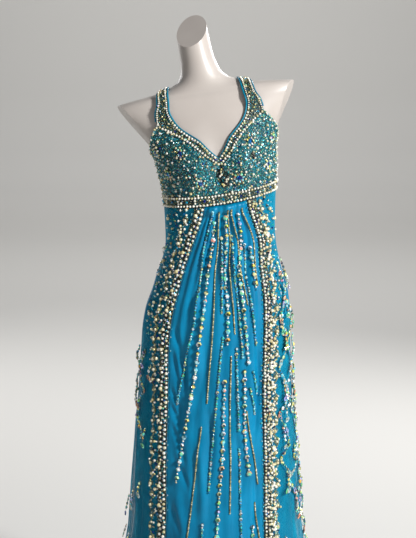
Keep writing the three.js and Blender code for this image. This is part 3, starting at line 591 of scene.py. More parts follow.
# small faceted teal glass
teal_crystal = bead_finish("teal_cut_glass", [
    (0.0, "#5cdcf0"), (0.25, "#a4f0ff"), (0.45, "#2aaad0"), (0.6, "#def9ff"),
    (0.8, "#5cbcf4"), (0.93, "#ffffff")], 0.08, 0.0, 1.0, cut=0.85)
# aurora-coated crystal: mostly clear, with gold, rose, green and violet flashes
aurora = bead_finish("aurora_crystal", [
    (0.0, "#ffffff"), (0.3, "#fbf6b0"), (0.45, "#ffffff"), (0.66, "#ffd0a8"),
    (0.71, "#c4f6ff"), (0.86, "#d4ccff"), (0.92, "#e4ffc8")], 0.06, 0.0, 1.0, cut=0.95)
# the same coating on clear oval rings, with less of the painted facet shade and glints
aurora_ring = bead_finish("aurora_ring", [
    (0.0, "#d8e2e0"), (0.35, "#e0de80"), (0.55, "#eca88c"), (0.68, "#8fe4b0"), (0.82, "#b6b2f0")],
    0.06, 0.0, 1.0, cut=0.6)
# foiled blue stones
blue_stone = bead_finish("blue_foiled_stone", [
    (0.0, "#0d36b0"), (0.3, "#0a86dc"), (0.6, "#08226e"), (0.8, "#20b8f0")], 0.08, 0.3, 1.0,
    cut=0.7)
# smoky jet crystals under the neckline, and as painted shade on a cup
jet = bead_finish("jet_crystal", [
    (0.0, "#17191d"), (0.5, "#303338"), (0.8, "#837f75")], 0.08, 0.2, 1.0, cut=0.6)
# cup sequins of teal foil
sequin_foil = bead_finish("teal_sequin_foil", [
    (0.0, "#128ca2"), (0.2, "#30bccc"), (0.38, "#0b5f70"), (0.52, "#7fdce2"),
    (0.62, "#54806c"), (0.72, "#1aa0b6"), (0.95, "#e4f6f4")], 0.2, 0.25, 0.4, cut=0.6)
print("finishes made:", len(bpy.data.materials))


# %% Bead shapes, one unit across, with their face along Z
facet_random = np.random.default_rng(3)


def mesh_of(name, shape):
    mesh = bpy.data.meshes.new(name)
    shape.to_mesh(mesh)
    shape.free()
    return mesh


def bead_shape(name, build, smooth_faces=False):
    shape = bmesh.new()
    build(shape)
    mesh = mesh_of(name, shape)
    if smooth_faces:
        mesh.shade_smooth()
    facets = facet_random.random(len(mesh.polygons))
    mesh.attributes.new("facet", "FLOAT", "FACE").data.foreach_set("value", facets)
    return in_scene(name, mesh)


def ball(u, v):
    return lambda shape: bmesh.ops.create_uvsphere(shape, u_segments=u, v_segments=v, radius=0.5)


def round_angles(count):
    return np.arange(count) * 2 * np.pi / count


def close_loops(shape, loops):
    # Faces between neighbouring loops of vertices, and a cap on each end.
    count = len(loops[0])
    for low, high in zip(loops, loops[1:]):
        for k in range(count):
            n = (k + 1) % count
            shape.faces.new((low[k], low[n], high[n], high[k]))
    shape.faces.new(loops[0][::-1])
    shape.faces.new(loops[-1])


def rings_of(profile, sides):
    # A turned shape from (radius, height) pairs, closed at both ends.
    def build(shape):
        close_loops(shape, [
            [shape.verts.new((radius * np.cos(a), radius * np.sin(a), height))
             for a in round_angles(sides)]
            for radius, height in profile])
    return build


def oval_ring(shape):
    # A flat oval link: outer length 1, width 0.64.
    around, tube = 12, 4
    half_across, half_along, thick = 0.22, 0.4, 0.1
    loops = []
    for a in round_angles(around):
        centre = np.array([half_across * np.cos(a), half_along * np.sin(a), 0])
        outward = unit(np.array([np.cos(a) / half_across, np.sin(a) / half_along, 0]))
        rims = [outward * np.cos(b) + np.array([0, 0, np.sin(b)]) for b in round_angles(tube)]
        loops.append([shape.verts.new(centre + thick * rim) for rim in rims])
    for k in range(around):
        for j in range(tube):
            n, m = (k + 1) % around, (j + 1) % tube
            shape.faces.new((loops[k][j], loops[n][j], loops[n][m], loops[k][m]))


def cone(sides, height):
    return lambda shape: bmesh.ops.create_cone(
        shape, cap_ends=True, segments=sides, radius1=0.5, radius2=0, depth=height)


round_bead = bead_shape("round_bead", ball(8, 5), smooth_faces=True)
seed_bead = bead_shape("seed_bead", ball(4, 3), smooth_faces=True)
cut_bead = bead_shape("cut_bead", rings_of([(0.27, -0.34), (0.5, -0.02), (0.27, 0.3)], 6))
small_cut_bead = bead_shape("small_cut_bead", rings_of([(0.3, -0.3), (0.5, 0.0), (0.3, 0.3)], 4))
stone_bead = bead_shape("stone_bead", rings_of([(0.5, -0.1), (0.5, 0.06), (0.28, 0.3)], 6))
sequin_bead = bead_shape("sequin_bead", cone(5, 0.16))
bugle_bead = bead_shape("bugle_bead", rings_of([(0.16, -0.5), (0.16, 0.5)], 3))
link_bead = bead_shape("link_bead", oval_ring)
bead_shapes = [round_bead, seed_bead, cut_bead, small_cut_bead, stone_bead, sequin_bead,
               bugle_bead, link_bead]


# %% [markdown]
# ## Three ways to sew beads on
# A couched strand follows a line: Geometry Nodes turn the line into a curve, measure it and
# set a bead at every step. Scattered beads cover an area: points are thrown over the cloth
# with a least distance between them, as a beader fills a shape. Single beads sit on spots of
# their own. All three trees end in real geometry with a tint stored on each bead.

# %% What the three trees share
def input_sockets(tree, sockets):
    tree.interface.new_socket("Geometry", in_out="INPUT", socket_type="NodeSocketGeometry")
    for name, kind in sockets:
        tree.interface.new_socket(name, in_out="INPUT", socket_type="NodeSocket" + kind)
    tree.interface.new_socket("Geometry", in_out="OUTPUT", socket_type="NodeSocketGeometry")
    return add(tree, "NodeGroupInput").outputs


TINT_SEED = 17.0  # keeps the random tint apart from the random size


def place_beads(tree, given, points, rotation):
    # The end of every tree: bead, size, tint, real geometry, material.
    shape = add(tree, "GeometryNodeObjectInfo", {"Object": given["Bead"]})
    vary = add(tree, "FunctionNodeRandomValue", {
        "Min": maths(tree, "SUBTRACT", 1.0, given["Unevenness"]),
        "Max": maths(tree, "ADD", 1.0, given["Unevenness"]), "Seed": given["Seed"]})
    beads = add(tree, "GeometryNodeInstanceOnPoints", {
        "Points": points, "Instance": shape.outputs["Geometry"], "Rotation": rotation,
        "Scale": maths(tree, "MULTIPLY", vary.outputs["Value"], given["Size"])})
    tint = add(tree, "FunctionNodeRandomValue", {
        "Seed": maths(tree, "ADD", given["Seed"], TINT_SEED)})
    marked = add(tree, "GeometryNodeStoreNamedAttribute", {
        "Geometry": beads.outputs["Instances"], "Name": "tint", "Value": tint.outputs["Value"]},
        data_type="FLOAT", domain="INSTANCE")
    real = add(tree, "GeometryNodeRealizeInstances", {"Geometry": marked.outputs["Geometry"]})
    painted = add(tree, "GeometryNodeSetMaterial", {
        "Geometry": real.outputs["Geometry"], "Material": given["Material"]})
    add(tree, "NodeGroupOutput", {"Geometry": painted.outputs["Geometry"]})


def scaled(tree, vector, amount):
    made = add(tree, "ShaderNodeVectorMath", {0: vector, "Scale": amount}, operation="SCALE")
    return made.outputs["Vector"]


def moved(tree, points, offset):
    made = add(tree, "GeometryNodeSetPosition", {"Geometry": points, "Offset": offset})
    return made.outputs["Geometry"]


def facing_out(tree):
    # Stands a bead on the cloth, by the direction that is stored on its point.
    away = add(tree, "GeometryNodeInputNamedAttribute", {"Name": "away"},
               data_type="FLOAT_VECTOR")
    upright = add(tree, "FunctionNodeAlignRotationToVector", {
        "Vector": away.outputs["Attribute"]}, axis="Z")
    return upright.outputs["Rotation"]


# %% A tree that strings beads along lines
JUST_UNDER = 0.999  # a step a hair too short, so that rounding never drops the last bead


def beads_on_line():
    tree = bpy.data.node_groups.new("beads_on_line", "GeometryNodeTree")
    given = input_sockets(tree, [
        ("Bead", "Object"), ("Spacing", "Float"), ("Start", "Float"), ("Size", "Float"),
        ("Unevenness", "Float"), ("Jitter", "Float"), ("Seed", "Int"), ("Material", "Material")])
    line = add(tree, "GeometryNodeMeshToCurve", {"Mesh": given["Geometry"]})
    length = add(tree, "GeometryNodeSplineLength").outputs["Length"]
    steps = maths(tree, "DIVIDE", maths(tree, "SUBTRACT", length, given["Start"]),
                  given["Spacing"])
    reach = maths(tree, "MULTIPLY_ADD", maths(tree, "FLOOR", steps), given["Spacing"],
                  given["Start"])
    trimmed = add(tree, "GeometryNodeTrimCurve", {
        "Curve": line.outputs["Curve"], 4: given["Start"], 5: reach}, mode="LENGTH")
    stops = add(tree, "GeometryNodeCurveToPoints", {
        "Curve": trimmed.outputs["Curve"],
        "Length": maths(tree, "MULTIPLY", given["Spacing"], JUST_UNDER)}, mode="LENGTH")
    nudge = add(tree, "FunctionNodeRandomValue", {
        0: (-1.0, -1.0, -1.0), 1: (1.0, 1.0, 1.0), "Seed": given["Seed"]},
        data_type="FLOAT_VECTOR")
    nudged = moved(tree, stops.outputs["Points"],
                   scaled(tree, nudge.outputs[0], given["Jitter"]))
    in_line = add(tree, "FunctionNodeAlignRotationToVector", {
        "Rotation": facing_out(tree), "Vector": stops.outputs["Tangent"]},
        axis="Y", pivot_axis="Z")
    place_beads(tree, given, nudged, in_line.outputs["Rotation"])
    return tree


string_tree = beads_on_line()

# %% A tree that scatters beads over cloth
CROWD = 1.6  # points thrown into each square gap, before those too close are taken away
ANY_SPIN = 3.14


def beads_on_cloth():
    tree = bpy.data.node_groups.new("beads_on_cloth", "GeometryNodeTree")
    given = input_sockets(tree, [
        ("Bead", "Object"), ("Gap", "Float"), ("Lift", "Float"), ("Tilt", "Float"),
        ("Size", "Float"), ("Unevenness", "Float"), ("Seed", "Int"), ("Material", "Material")])
    density = maths(tree, "DIVIDE", CROWD, maths(tree, "MULTIPLY", given["Gap"], given["Gap"]))
    cover = add(tree, "GeometryNodeInputNamedAttribute", {"Name": "cover"}, data_type="FLOAT")
    thrown = add(tree, "GeometryNodeDistributePointsOnFaces", {
        "Mesh": given["Geometry"], "Distance Min": given["Gap"], "Density Max": density,
        "Density Factor": cover.outputs["Attribute"], "Seed": given["Seed"]},
        distribute_method="POISSON")
    lifted = moved(tree, thrown.outputs["Points"],
                   scaled(tree, thrown.outputs["Normal"], given["Lift"]))
    lean = add(tree, "ShaderNodeCombineXYZ", {
        "X": given["Tilt"], "Y": given["Tilt"], "Z": ANY_SPIN}).outputs["Vector"]
    spin = add(tree, "FunctionNodeRandomValue", {
        0: scaled(tree, lean, -1.0), 1: lean, "Seed": given["Seed"]}, data_type="FLOAT_VECTOR")
    spun = add(tree, "FunctionNodeRotateRotation", {
        "Rotation": thrown.outputs["Rotation"], "Rotate By": spin.outputs[0]},
        rotation_space="LOCAL")
    place_beads(tree, given, lifted, spun.outputs["Rotation"])
    return tree


scatter_tree = beads_on_cloth()


# %% A tree that sets one bead on every point
def beads_on_spots():
    tree = bpy.data.node_groups.new("beads_on_spots", "GeometryNodeTree")
    given = input_sockets(tree, [
        ("Bead", "Object"), ("Size", "Float"), ("Unevenness", "Float"), ("Seed", "Int"),
        ("Material", "Material")])
    dots = add(tree, "GeometryNodeMeshToPoints", {"Mesh": given["Geometry"]})
    place_beads(tree, given, dots.outputs["Points"], facing_out(tree))
    return tree


spot_tree = beads_on_spots()


# %% Run a tree on a line or a ground, and keep the plain mesh
def sewn(source, tree, **values):
    source = source.copy()
    bpy.context.scene.collection.objects.link(source)
    modifier = source.modifiers.new("beads", "NODES")
    modifier.node_group = tree
    identifiers = {s.name: s.identifier for s in tree.interface.items_tree
                   if s.in_out == "INPUT"}
    for key, value in values.items():
        modifier[identifiers[key]] = value
    ready = source.evaluated_get(bpy.context.evaluated_depsgraph_get())
    mesh = bpy.data.meshes.new_from_object(ready)
    mesh.name = "run"
    bpy.data.objects.remove(source)
    return in_scene("run", mesh)


sewn_triangles = []


def joined(name, pieces):
    # One object from several bead runs. Materials stay on their own faces.
    pieces = [p for p in pieces if len(p.data.polygons)]
    with bpy.context.temp_override(active_object=pieces[0], selected_editable_objects=pieces):
        bpy.ops.object.join()
    made = pieces[0]
    made.name = name
    made.data.name = name
    dress_piece(made)
    triangles = sum(len(p.vertices) - 2 for p in made.data.polygons)
    sewn_triangles.append(triangles)
    print(f"{name}: {triangles} triangles")
    return made


def line_object(paths):
    # Each path is a pair: points in millimetres, and the direction away from the cloth.
    points, edges, away = [], [], []
    for path, outward in paths:
        start = len(points)
        points.extend(path * MM)
        away.extend(outward)
        edges.extend((start + k, start + k + 1) for k in range(len(path) - 1))
    mesh = bpy.data.meshes.new("line")
    mesh.from_pydata([tuple(p) for p in points], edges, [])
    layer = mesh.attributes.new("away", "FLOAT_VECTOR", "POINT")
    layer.data.foreach_set("vector", np.array(away, float).ravel())
    return bpy.data.objects.new("line", mesh)


def string(paths, shape, finish, size, spacing, start=0.0, uneven=0.06, jitter=0.0, seed=1):
    return sewn(line_object(paths), string_tree, Bead=shape, Spacing=spacing * MM,
                Start=start * MM, Size=size * MM, Unevenness=uneven, Jitter=jitter * MM,
                Seed=seed, Material=finish)


def spots(places, shape, finish, size, uneven=0.06, seed=1):
    return sewn(line_object(places), spot_tree, Bead=shape, Size=size * MM,
                Unevenness=uneven, Seed=seed, Material=finish)


def scatter(cloth, shape, finish, size, gap, lift=0.0, tilt=0.3, uneven=0.15, seed=1):
    return sewn(cloth, scatter_tree, Bead=shape, Gap=gap * MM, Lift=lift * MM, Tilt=tilt,
                Size=size * MM, Unevenness=uneven, Seed=seed, Material=finish)


# %% [markdown]
# ## Skirt panels
# The centre panel is gathered into the bust band; the side and back panels lie over the hip
# and flare at the hem. All are cut from the same satin. Each is a sheet of the pattern
# between two seams, with the creases pressed into it.

# %% Sheets of the skirt
def seam_arc(z):
    # millimetres of cloth for each radian, at the centre panel's seam
    angle = np.radians(centre_panel(z))
    return np.hypot(half_width(z) * np.cos(angle), front_depth(z) * np.sin(angle))


def seam_angle(name, z):
    if name == "centre":
        return np.radians(centre_panel(z))
    if name == "border":
        return np.radians(centre_panel(z)) + BORDER_WIDTH / seam_arc(z)
    if name == "back":
        return np.radians(BACK_SEAM) + 0 * z
    gap = lerp(SEAM, ZIP_HALF, smooth(z, ZIP_FOOT - 20, ZIP_FOOT))
    share = np.clip(gap / half_width(z), 0, 1)
    return np.pi - np.arcsin(share ** (squareness(z) / 2))


SKIRT_TOP = BAND_MIDDLE - BAND_HEIGHT / 2 - 3 * SEAM


def skirt_sheet(low, high, columns, rows, foot=HEM):
    # low and high are (side, seam name, gaps from it)
    height = np.linspace(foot, SKIRT_TOP, rows)[:, None] + np.zeros((rows, columns))
    across = np.linspace(0, 1, columns)[None, :]

    def angle(h):
        ends = [s * (seam_angle(n, h) + g * SEAM / half_width(h)) for s, n, g in (low, high)]
        return lerp(ends[0], ends[1], across)

    height = follow_band(angle(height), height)
    return on_skirt(angle(height), height), angle(height), height


panels = {}
for side, sign in SIDES:
    panels[f"skirt_side_{side}"] = skirt_sheet(
        (sign, "centre", 1), (sign, "back", -1), 60, 130)
    panels[f"skirt_back_{side}"] = skirt_sheet((sign, "back", 1), (sign, "zip", 0), 46, 130)
panels["skirt_centre_front"] = skirt_sheet((-1, "centre", -1), (1, "centre", -1), 104, 160)

CLOTH_WALL = 1.2
for name, (points, _, _) in panels.items():
    cloth_piece("satin_" + name, posed(points), CLOTH_WALL, skirt_satin,
                [name])

# %% [markdown]
# ## Sheer overlay
# A net layer hangs over each side panel and stands away from it at the hip and the hem. It
# hardly hides the satin, but it softens the outline and carries the hanging bead chains.

# %% Net overlays
OVERLAY_PLEATS = 7


def overlay_stand(share, z):
    away = 13 * (1 - smooth(z, 250, 900)) + 6 * (1 - smooth(z, 0, 300))
    pleat = 1 + 0.5 * np.cos(share * OVERLAY_PLEATS * 2 * np.pi + 2 * np.sin(z / 130))
    depth = 0.6 + 1.6 * (1 - smooth(z, 300, 1000))
    return 1.8 + away * np.sin(np.pi * share) + depth * pleat * np.sin(np.pi * share) ** 0.5


for side, sign in SIDES:
    _, angles, heights = skirt_sheet((sign, "border", 1), (sign, "back", -1), 64, 90, HEM + 8)
    share = np.linspace(0, 1, 64)[None, :] + 0 * heights
    stand = overlay_stand(share, heights)
    base = fold(angles, heights) + 0.4 * creases(angles, heights)
    points = posed(on_shell(angles, heights, base + stand))
    cloth_piece(f"net_overlay_{side}", points, 0.5, overlay_net,
                [f"sheer_overlay_{side}"])

# %% [markdown]
# ## Neck bands, straps and bodice
# The beaded band runs along the neckline and goes on over the shoulder as the strap. The
# cups and the back panels hang from it. A strap wraps round a point inside the shoulder, so
# it is found by walking outwards from that point until the pattern's surface is met.

# %% Surfaces of the neck bands
def inside(x, y, z):
    share = np.minimum(np.abs(x) / half_width(z), 1)
    n = squareness(z)
    profile = (1 - share**n) ** (1 / n)
    swell = cup(x, z) * smooth(profile ** (n / 2), 0, CUP_FADE)
    return np.where(y > 0, y < back_depth(z) * profile, -y < front_depth(z) * profile + swell)


FARTHEST = 260.0
HALVINGS = 36  # each one halves the stretch in which the surface has to lie


def over_shoulder(x, angle):
    near, far = np.zeros(np.shape(x)), np.full(np.shape(x), FARTHEST)
    for _ in range(HALVINGS):
        r = (near + far) / 2
        within = inside(x, -np.cos(angle) * r, STRAP_PIVOT + np.sin(angle) * r)
        near, far = np.where(within, r, near), np.where(within, far, r)
    return np.stack([x, -np.cos(angle) * near, STRAP_PIVOT + np.sin(angle) * near], -1)


def angle_at(x, z, behind=False):
    share = np.clip(np.abs(x) / half_width(z), 0, 1)
    angle = np.arcsin(share ** (squareness(z) / 2))
    return np.pi - angle if behind else angle


STRAP_ENDS = {False: 89.7, True: 90.3}  # degrees over the shoulder, in front and behind
NEAR_X, NEAR_ANGLE = 4, 0.04  # neighbours that give the slope of the surface


def neck_band(rows, behind, stand_from):
    table = []
    for k, (in_x, in_z, out_x, out_z) in enumerate(rows):
        ends = []
        for x, z in ((in_x, in_z), (out_x, out_z)):
            y = on_shell(angle_at(x, z, behind), z)[1]
            angle = np.arctan2(z - STRAP_PIVOT, -y)
            ends.append(angle + 2 * np.pi if behind and angle < 0 else angle)
        table.append((k, in_x, ends[0], out_x, ends[1]))
    edge = np.radians(STRAP_ENDS[behind])
    table.append((len(rows), SHOULDER_IN, edge, SHOULDER_OUT, edge))
    in_x, in_a, out_x, out_a = (column(table, k) for k in (1, 2, 3, 4))

    def band(along, across, lift=0.0):
        along, across = np.broadcast_arrays(np.asarray(along, float), np.asarray(across, float))
        x = lerp(in_x(along), out_x(along), across)
        angle = lerp(in_a(along), out_a(along), across)
        point = over_shoulder(x, angle)
        by_x = over_shoulder(x + NEAR_X, angle) - over_shoulder(x - NEAR_X, angle)
        by_angle = over_shoulder(x, angle + NEAR_ANGLE) - over_shoulder(x, angle - NEAR_ANGLE)
        normal = unit(np.cross(by_x, by_angle))
        share = np.clip((along - stand_from) / (len(rows) - stand_from), 0, 1)
        stand = STRAP_STAND * np.sin(np.pi * share) ** 2 + lift
        return point + normal * stand[..., None]

    return band


front_band = neck_band(FRONT_NECK_BAND, False, FRONT_CORNER)
back_band = neck_band(BACK_NECK_BAND, True, BACK_CORNER)
bands = {"front": (front_band, len(FRONT_NECK_BAND), FRONT_CORNER),
         "back": (back_band, len(BACK_NECK_BAND), BACK_CORNER)}


def band_sheet(band, rows, start, end, along_steps, across_steps, first=0.0, bulge=0.0):
    # start and end are distances in mm from the neckline; end may count from the far edge
    along = np.concatenate([np.linspace(first, rows - 1, along_steps),
                            np.linspace(rows - 1, rows, along_steps // 3)[1:]])[:, None]
    width = np.linalg.norm(band(along, 0.0) - band(along, 1.0), axis=-1)
    low = start(width) / width
    high = end(width) / width
    t = np.linspace(0, 1, across_steps)[None, :]
    return band(along, lerp(low, high, t), bulge * np.sin(np.pi * t) ** 0.6 + 0 * along)


def mirrored(points, sign):
    return points * np.array([sign, 1, 1])


def strap_middle(points):
    middle = points.copy()
    middle[..., 1] = 0
    middle[..., 2] = np.minimum(points[..., 2], STRAP_PIVOT)
    return middle


# %% Beaded bands, satin binding of the neckline and satin edges of the straps
PIPING_START = 0.35  # rows from the corner to where the strap's piping starts
STRAP_PIPING = 3

for side, sign in SIDES:
    for place, (band, rows, corner) in bands.items():
        strips = [
            (f"neck_band_{place}_{side}", lambda w: w * 0 + BINDING_WIDTH + SEAM,
             lambda w: w - SEAM, 0.0, 9, 0.0, CLOTH_WALL + 0.6, "beaded", band_ground,
             f"{place}_neck_band_{side}"),
            (f"satin_binding_{place}_{side}", lambda w: w * 0 + 0.1,
             lambda w: w * 0 + BINDING_WIDTH - SEAM, 0.0, 7, 1.3, CLOTH_WALL, "satin",
             piping_satin, f"neck_binding_{place}_{side}"),
            (f"satin_strap_edge_{place}_{side}", lambda w: w + SEAM,
             lambda w: w + SEAM + STRAP_PIPING, corner + PIPING_START, 6, 0.9, CLOTH_WALL,
             "satin", piping_satin, f"strap_edge_{place}_{side}"),
        ]
        for name, start, end, first, across, bulge, wall, slot, finish, node in strips:
            upright_points = band_sheet(band, rows, start, end, 64, across, first, bulge)
            points = mirrored(upright_points, sign)
            cloth_piece(name, posed(points), wall, finish,
                        [node], posed(strap_middle(points)))


# %% Bodice panels, from the bust band up to the neck band and the armhole
ON_BAND, ON_ARMHOLE = 0.68, 0.32  # shares of the columns under the neck band and the armhole
BUST_RADIUS, BAND_RADIUS = 140, 130


def bodice_sheet(band, corner, armhole, behind, start, across, up):
    side = np.radians(SIDE_SEAM) + (1 if behind else -1) * SEAM / BUST_RADIUS
    limit = np.maximum if behind else np.minimum
    arm = [(k, x, z) for k, (x, z) in enumerate(armhole)]
    arm_x, arm_z = column(arm, 1), column(arm, 2)
    t = np.linspace(0, 1, across)
    on_band = t <= ON_BAND
    along = np.clip(t / ON_BAND, 0, 1) * corner
    width = np.linalg.norm(band(along, 0.0) - band(along, 1.0), axis=-1)
    under = band(along, 1 + SEAM / width)
    arm_t = np.clip((t - ON_BAND) / ON_ARMHOLE, 0, 1) * len(armhole)
    last = len(armhole) - 1
    past = np.clip(arm_t - last, 0, 1)
    x = np.where(on_band, under[:, 0], arm_x(arm_t))
    z_edge = np.where(on_band, under[:, 2], arm_z(arm_t))
    angle = limit(angle_at(x, z_edge, behind), side)
    angle = np.where(past > 0, lerp(angle, side, past), angle)
    z = np.where(past > 0, lerp(armhole[last][1], UNDERARM, past), z_edge)
    foot = lerp(start, side, t)
    foot_z = BAND_MIDDLE + BAND_HEIGHT / 2 + band_rise(foot) + SEAM
    v = np.linspace(0, 1, up)[:, None]
    return lerp(foot, angle, v), lerp(foot_z, z, v)


front_start = float(angle_at(FRONT_NECK_BAND[0][0], BAND_MIDDLE))
back_start = float(angle_at(BACK_NECK_BAND[0][0], BAND_MIDDLE, True))
bodices = {
    "front": bodice_sheet(front_band, FRONT_CORNER, FRONT_ARMHOLE, False, front_start, 56, 34),
    "back": bodice_sheet(back_band, BACK_CORNER, BACK_ARMHOLE, True, back_start, 56, 30),
}
for side, sign in SIDES:
    for place, (angle, z) in bodices.items():
        points = posed(on_shell(sign * angle, z))
        cloth_piece(f"beaded_bodice_{place}_{side}", points, CLOTH_WALL + 0.4,
                    cup_ground, [f"bodice_{place}_{side}"])


# %% The band under the bust
BAND_PROUD = 1.2


def waist_band(angle, across, lift=0.0):
    z = BAND_MIDDLE + band_rise(angle) + (across - 0.5) * (BAND_HEIGHT - 2 * SEAM)
    swell = BAND_PROUD + 0.6 * np.sin(np.pi * across)
    return on_shell(angle, z, swell + lift)


ZIP_ANGLE = float(angle_at(ZIP_HALF, BAND_MIDDLE, True))
SIDE_ANGLE = np.radians(SIDE_SEAM)
side_gap = SEAM / BAND_RADIUS
band_parts = [
    ("underbust_band_front", -SIDE_ANGLE + side_gap, SIDE_ANGLE - side_gap, 110),
    ("underbust_band_back_left", SIDE_ANGLE + side_gap, ZIP_ANGLE, 60),
    ("underbust_band_back_right", -SIDE_ANGLE - side_gap, -ZIP_ANGLE, 60),
]
for name, start, end, columns in band_parts:
    angle = np.linspace(start, end, columns)[None, :]
    across = np.linspace(0, 1, 9)[:, None]
    points = posed(waist_band(angle + 0 * across, across + 0 * angle))
    cloth_piece("net_" + name, points, CLOTH_WALL + 0.8, band_ground,
                [name])


# %% The grounds of the pearl borders
def border_sheet(sign, columns, rows):
    height = np.linspace(HEM + 4, SKIRT_TOP, rows)[:, None] + np.zeros((rows, columns))
    across = np.linspace(0, 1, columns)[None, :]
    angle = sign * lerp(seam_angle("centre", height) + SEAM / half_width(height),
                        seam_angle("border", height) - SEAM / half_width(height), across)
    return angle, follow_band(angle, height)


for side, sign in SIDES:
    angle, z = border_sheet(sign, 7, 150)
    points = posed(on_skirt(angle, z, 2.2))
    cloth_piece(f"net_pearl_border_{side}", points, 1.2, band_ground,
                [f"pearl_border_{side}"])

# %% [markdown]
# ## Form and stand
# The form is a smooth glass-fibre torso with short stumps for arms, cut off by planes. It is
# lofted from the same sections as the dress, a few millimetres inside the cloth. The stand is
# turned on a lathe: a flange under the torso, a pole and a heavy round base.

# %% The form's torso
FORM_SIDES = 100
FORM_FOOT, FORM_TOP = 770, 1635
STUMP_X, STUMP_HEIGHT = 147, 1312
FORM_CUT, NECK_CUT = 790, (-52, 0, 1556)
SHOULDERS_FROM, SHOULDERS_TO = 1380, 1475
CHEST_EASE, SHOULDER_EASE, HIP_EASE = 5.2, 2.5, 6  # how far inside the cloth it stays


def glass_fibre():
    # moulded glass fibre under satin enamel: almost white, warm, with a soft broad gloss
    finish, tree, shader = new_finish("white_glass_fibre")
    place = add(tree, "ShaderNodeTexCoord").outputs["Object"]
    cloudy = noise(tree, place, 120, 3.0)
    orange_peel = noise(tree, place, 5, 2.0)
    set_inputs(tree, shader, Roughness=0.36, Coat_Weight=0.15, Coat_Roughness=0.25,
               Base_Color=ramp(tree, cloudy, [(0.3, "#c9bfb7"), (0.7, "#d3cac2")]),
               Normal=bumped(tree, orange_peel, 0.06, 0.0006))
    return finish


form_finish = glass_fibre()
levels = np.concatenate([np.linspace(FORM_FOOT, SHOULDERS_FROM, 50)[:-1],
                         np.linspace(SHOULDERS_FROM, SHOULDERS_TO, 40)[:-1],
                         np.linspace(SHOULDERS_TO, FORM_TOP, 12)])
# the form's shoulders slope a little lower than the pattern's
lift = 2.5 * smooth(levels, 1310, 1400) * (1 - smooth(levels, 1455, 1500))
ease = (lerp(CHEST_EASE, SHOULDER_EASE, smooth(levels, 1340, 1410))
        + HIP_EASE * (1 - smooth(levels, 900, 1100)))
angles = round_angles(FORM_SIDES)
rings = on_shell(angles[None, :] + 0 * levels[:, None], (levels + lift)[:, None] + 0 * angles,
                 -ease[:, None] + 0 * angles)
rings[..., 2] = levels[:, None]


def closed_loft(rings):
    shape = bmesh.new()
    close_loops(shape, [[shape.verts.new(p * MM) for p in ring] for ring in rings])
    return shape


def cut(shape, point, normal, above=None):
    # Takes away what lies on the normal's side, and closes the opening.
    chosen = [f for f in shape.faces if above is None or f.calc_center_median().z > above * MM]
    edges = {e for f in chosen for e in f.edges}
    verts = {v for f in chosen for v in f.verts}
    bmesh.ops.bisect_plane(shape, geom=chosen + list(edges) + list(verts), dist=1e-7,
                           plane_co=Vector(point) * MM, plane_no=normal, clear_outer=True)
    open_edges = [e for e in shape.edges if e.is_boundary]
    bmesh.ops.holes_fill(shape, edges=open_edges, sides=0)


torso = closed_loft(rings)
for sign in (1, -1):
    cut(torso, (sign * STUMP_X, 0, STUMP_HEIGHT), (sign, -0.28, -0.54), above=STUMP_HEIGHT)
for v in torso.verts:
    v.co = Vector(posed(np.array(v.co)[None] / MM)[0] * MM)
cut(torso, (0, 0, FORM_CUT), (0, 0, -1))
cut(torso, NECK_CUT, (-0.5, -0.85, 1))
mesh = mesh_of("dress_form", torso)
mesh.shade_smooth()
mesh.set_sharp_from_angle(angle=np.radians(38))
form = in_scene("dress_form", mesh)
rim = form.modifiers.new("rims", "BEVEL")
rim.width = 1.6 * MM
rim.segments = 2
rim.limit_method = "ANGLE"
rim.angle_limit = np.radians(40)
dress_piece(form, form_finish, replaces=["form_torso"])
print("form:", len(mesh.polygons), "faces")

# %% The stand
def brushed_steel():
    # brushed stainless steel: fine turned lines that stretch the highlights
    finish, tree, shader = new_finish("brushed_steel")
    place = add(tree, "ShaderNodeTexCoord").outputs["Object"]
    lines = noise(tree, stretched(tree, place, 30), 14, 4.0)
    set_inputs(tree, shader, Base_Color=linear("#b9bbbe"), Metallic=1.0,
               Roughness=between(tree, lines, 0.24, 0.4),
               Normal=bumped(tree, lines, 0.12, 0.0004))
    return finish


steel = brushed_steel()


def turned_piece(name, profile, sides, node):
    shape = bmesh.new()
    rings_of([(r * MM, z * MM) for r, z in profile], sides)(shape)
    mesh = mesh_of(name, shape)
    mesh.shade_smooth()
    mesh.set_sharp_from_angle(angle=np.radians(30))
    dress_piece(in_scene(name, mesh), steel, replaces=[node])


turned_piece("stand_base", [(190, 0), (190, 5), (189.3, 7.5), (187, 9.8), (183, 11.2), (170, 12),
                            (40, 12)], 96, "form_base")
turned_piece("stand_pole", [(11.5, 12.3), (12.5, 13.5), (12.5, 762), (11.5, 763.4)], 40,
             "form_pole")
turned_piece("stand_flange", [(26, 763.7), (27.5, 765), (32.5, 786), (34, 788.6), (33, 789.7)],
             56, "form_flange")
print("stand turned")

# %% [markdown]
# ## Strands of the centre panel
# Long strands hang from the bust band and spread like rays. Ropes of gold seeds, small teal
# crystals, and large crystals strung with pearls take turns. Each row gives the kind and a few
# places: share of the panel's half width, from the middle, and height.

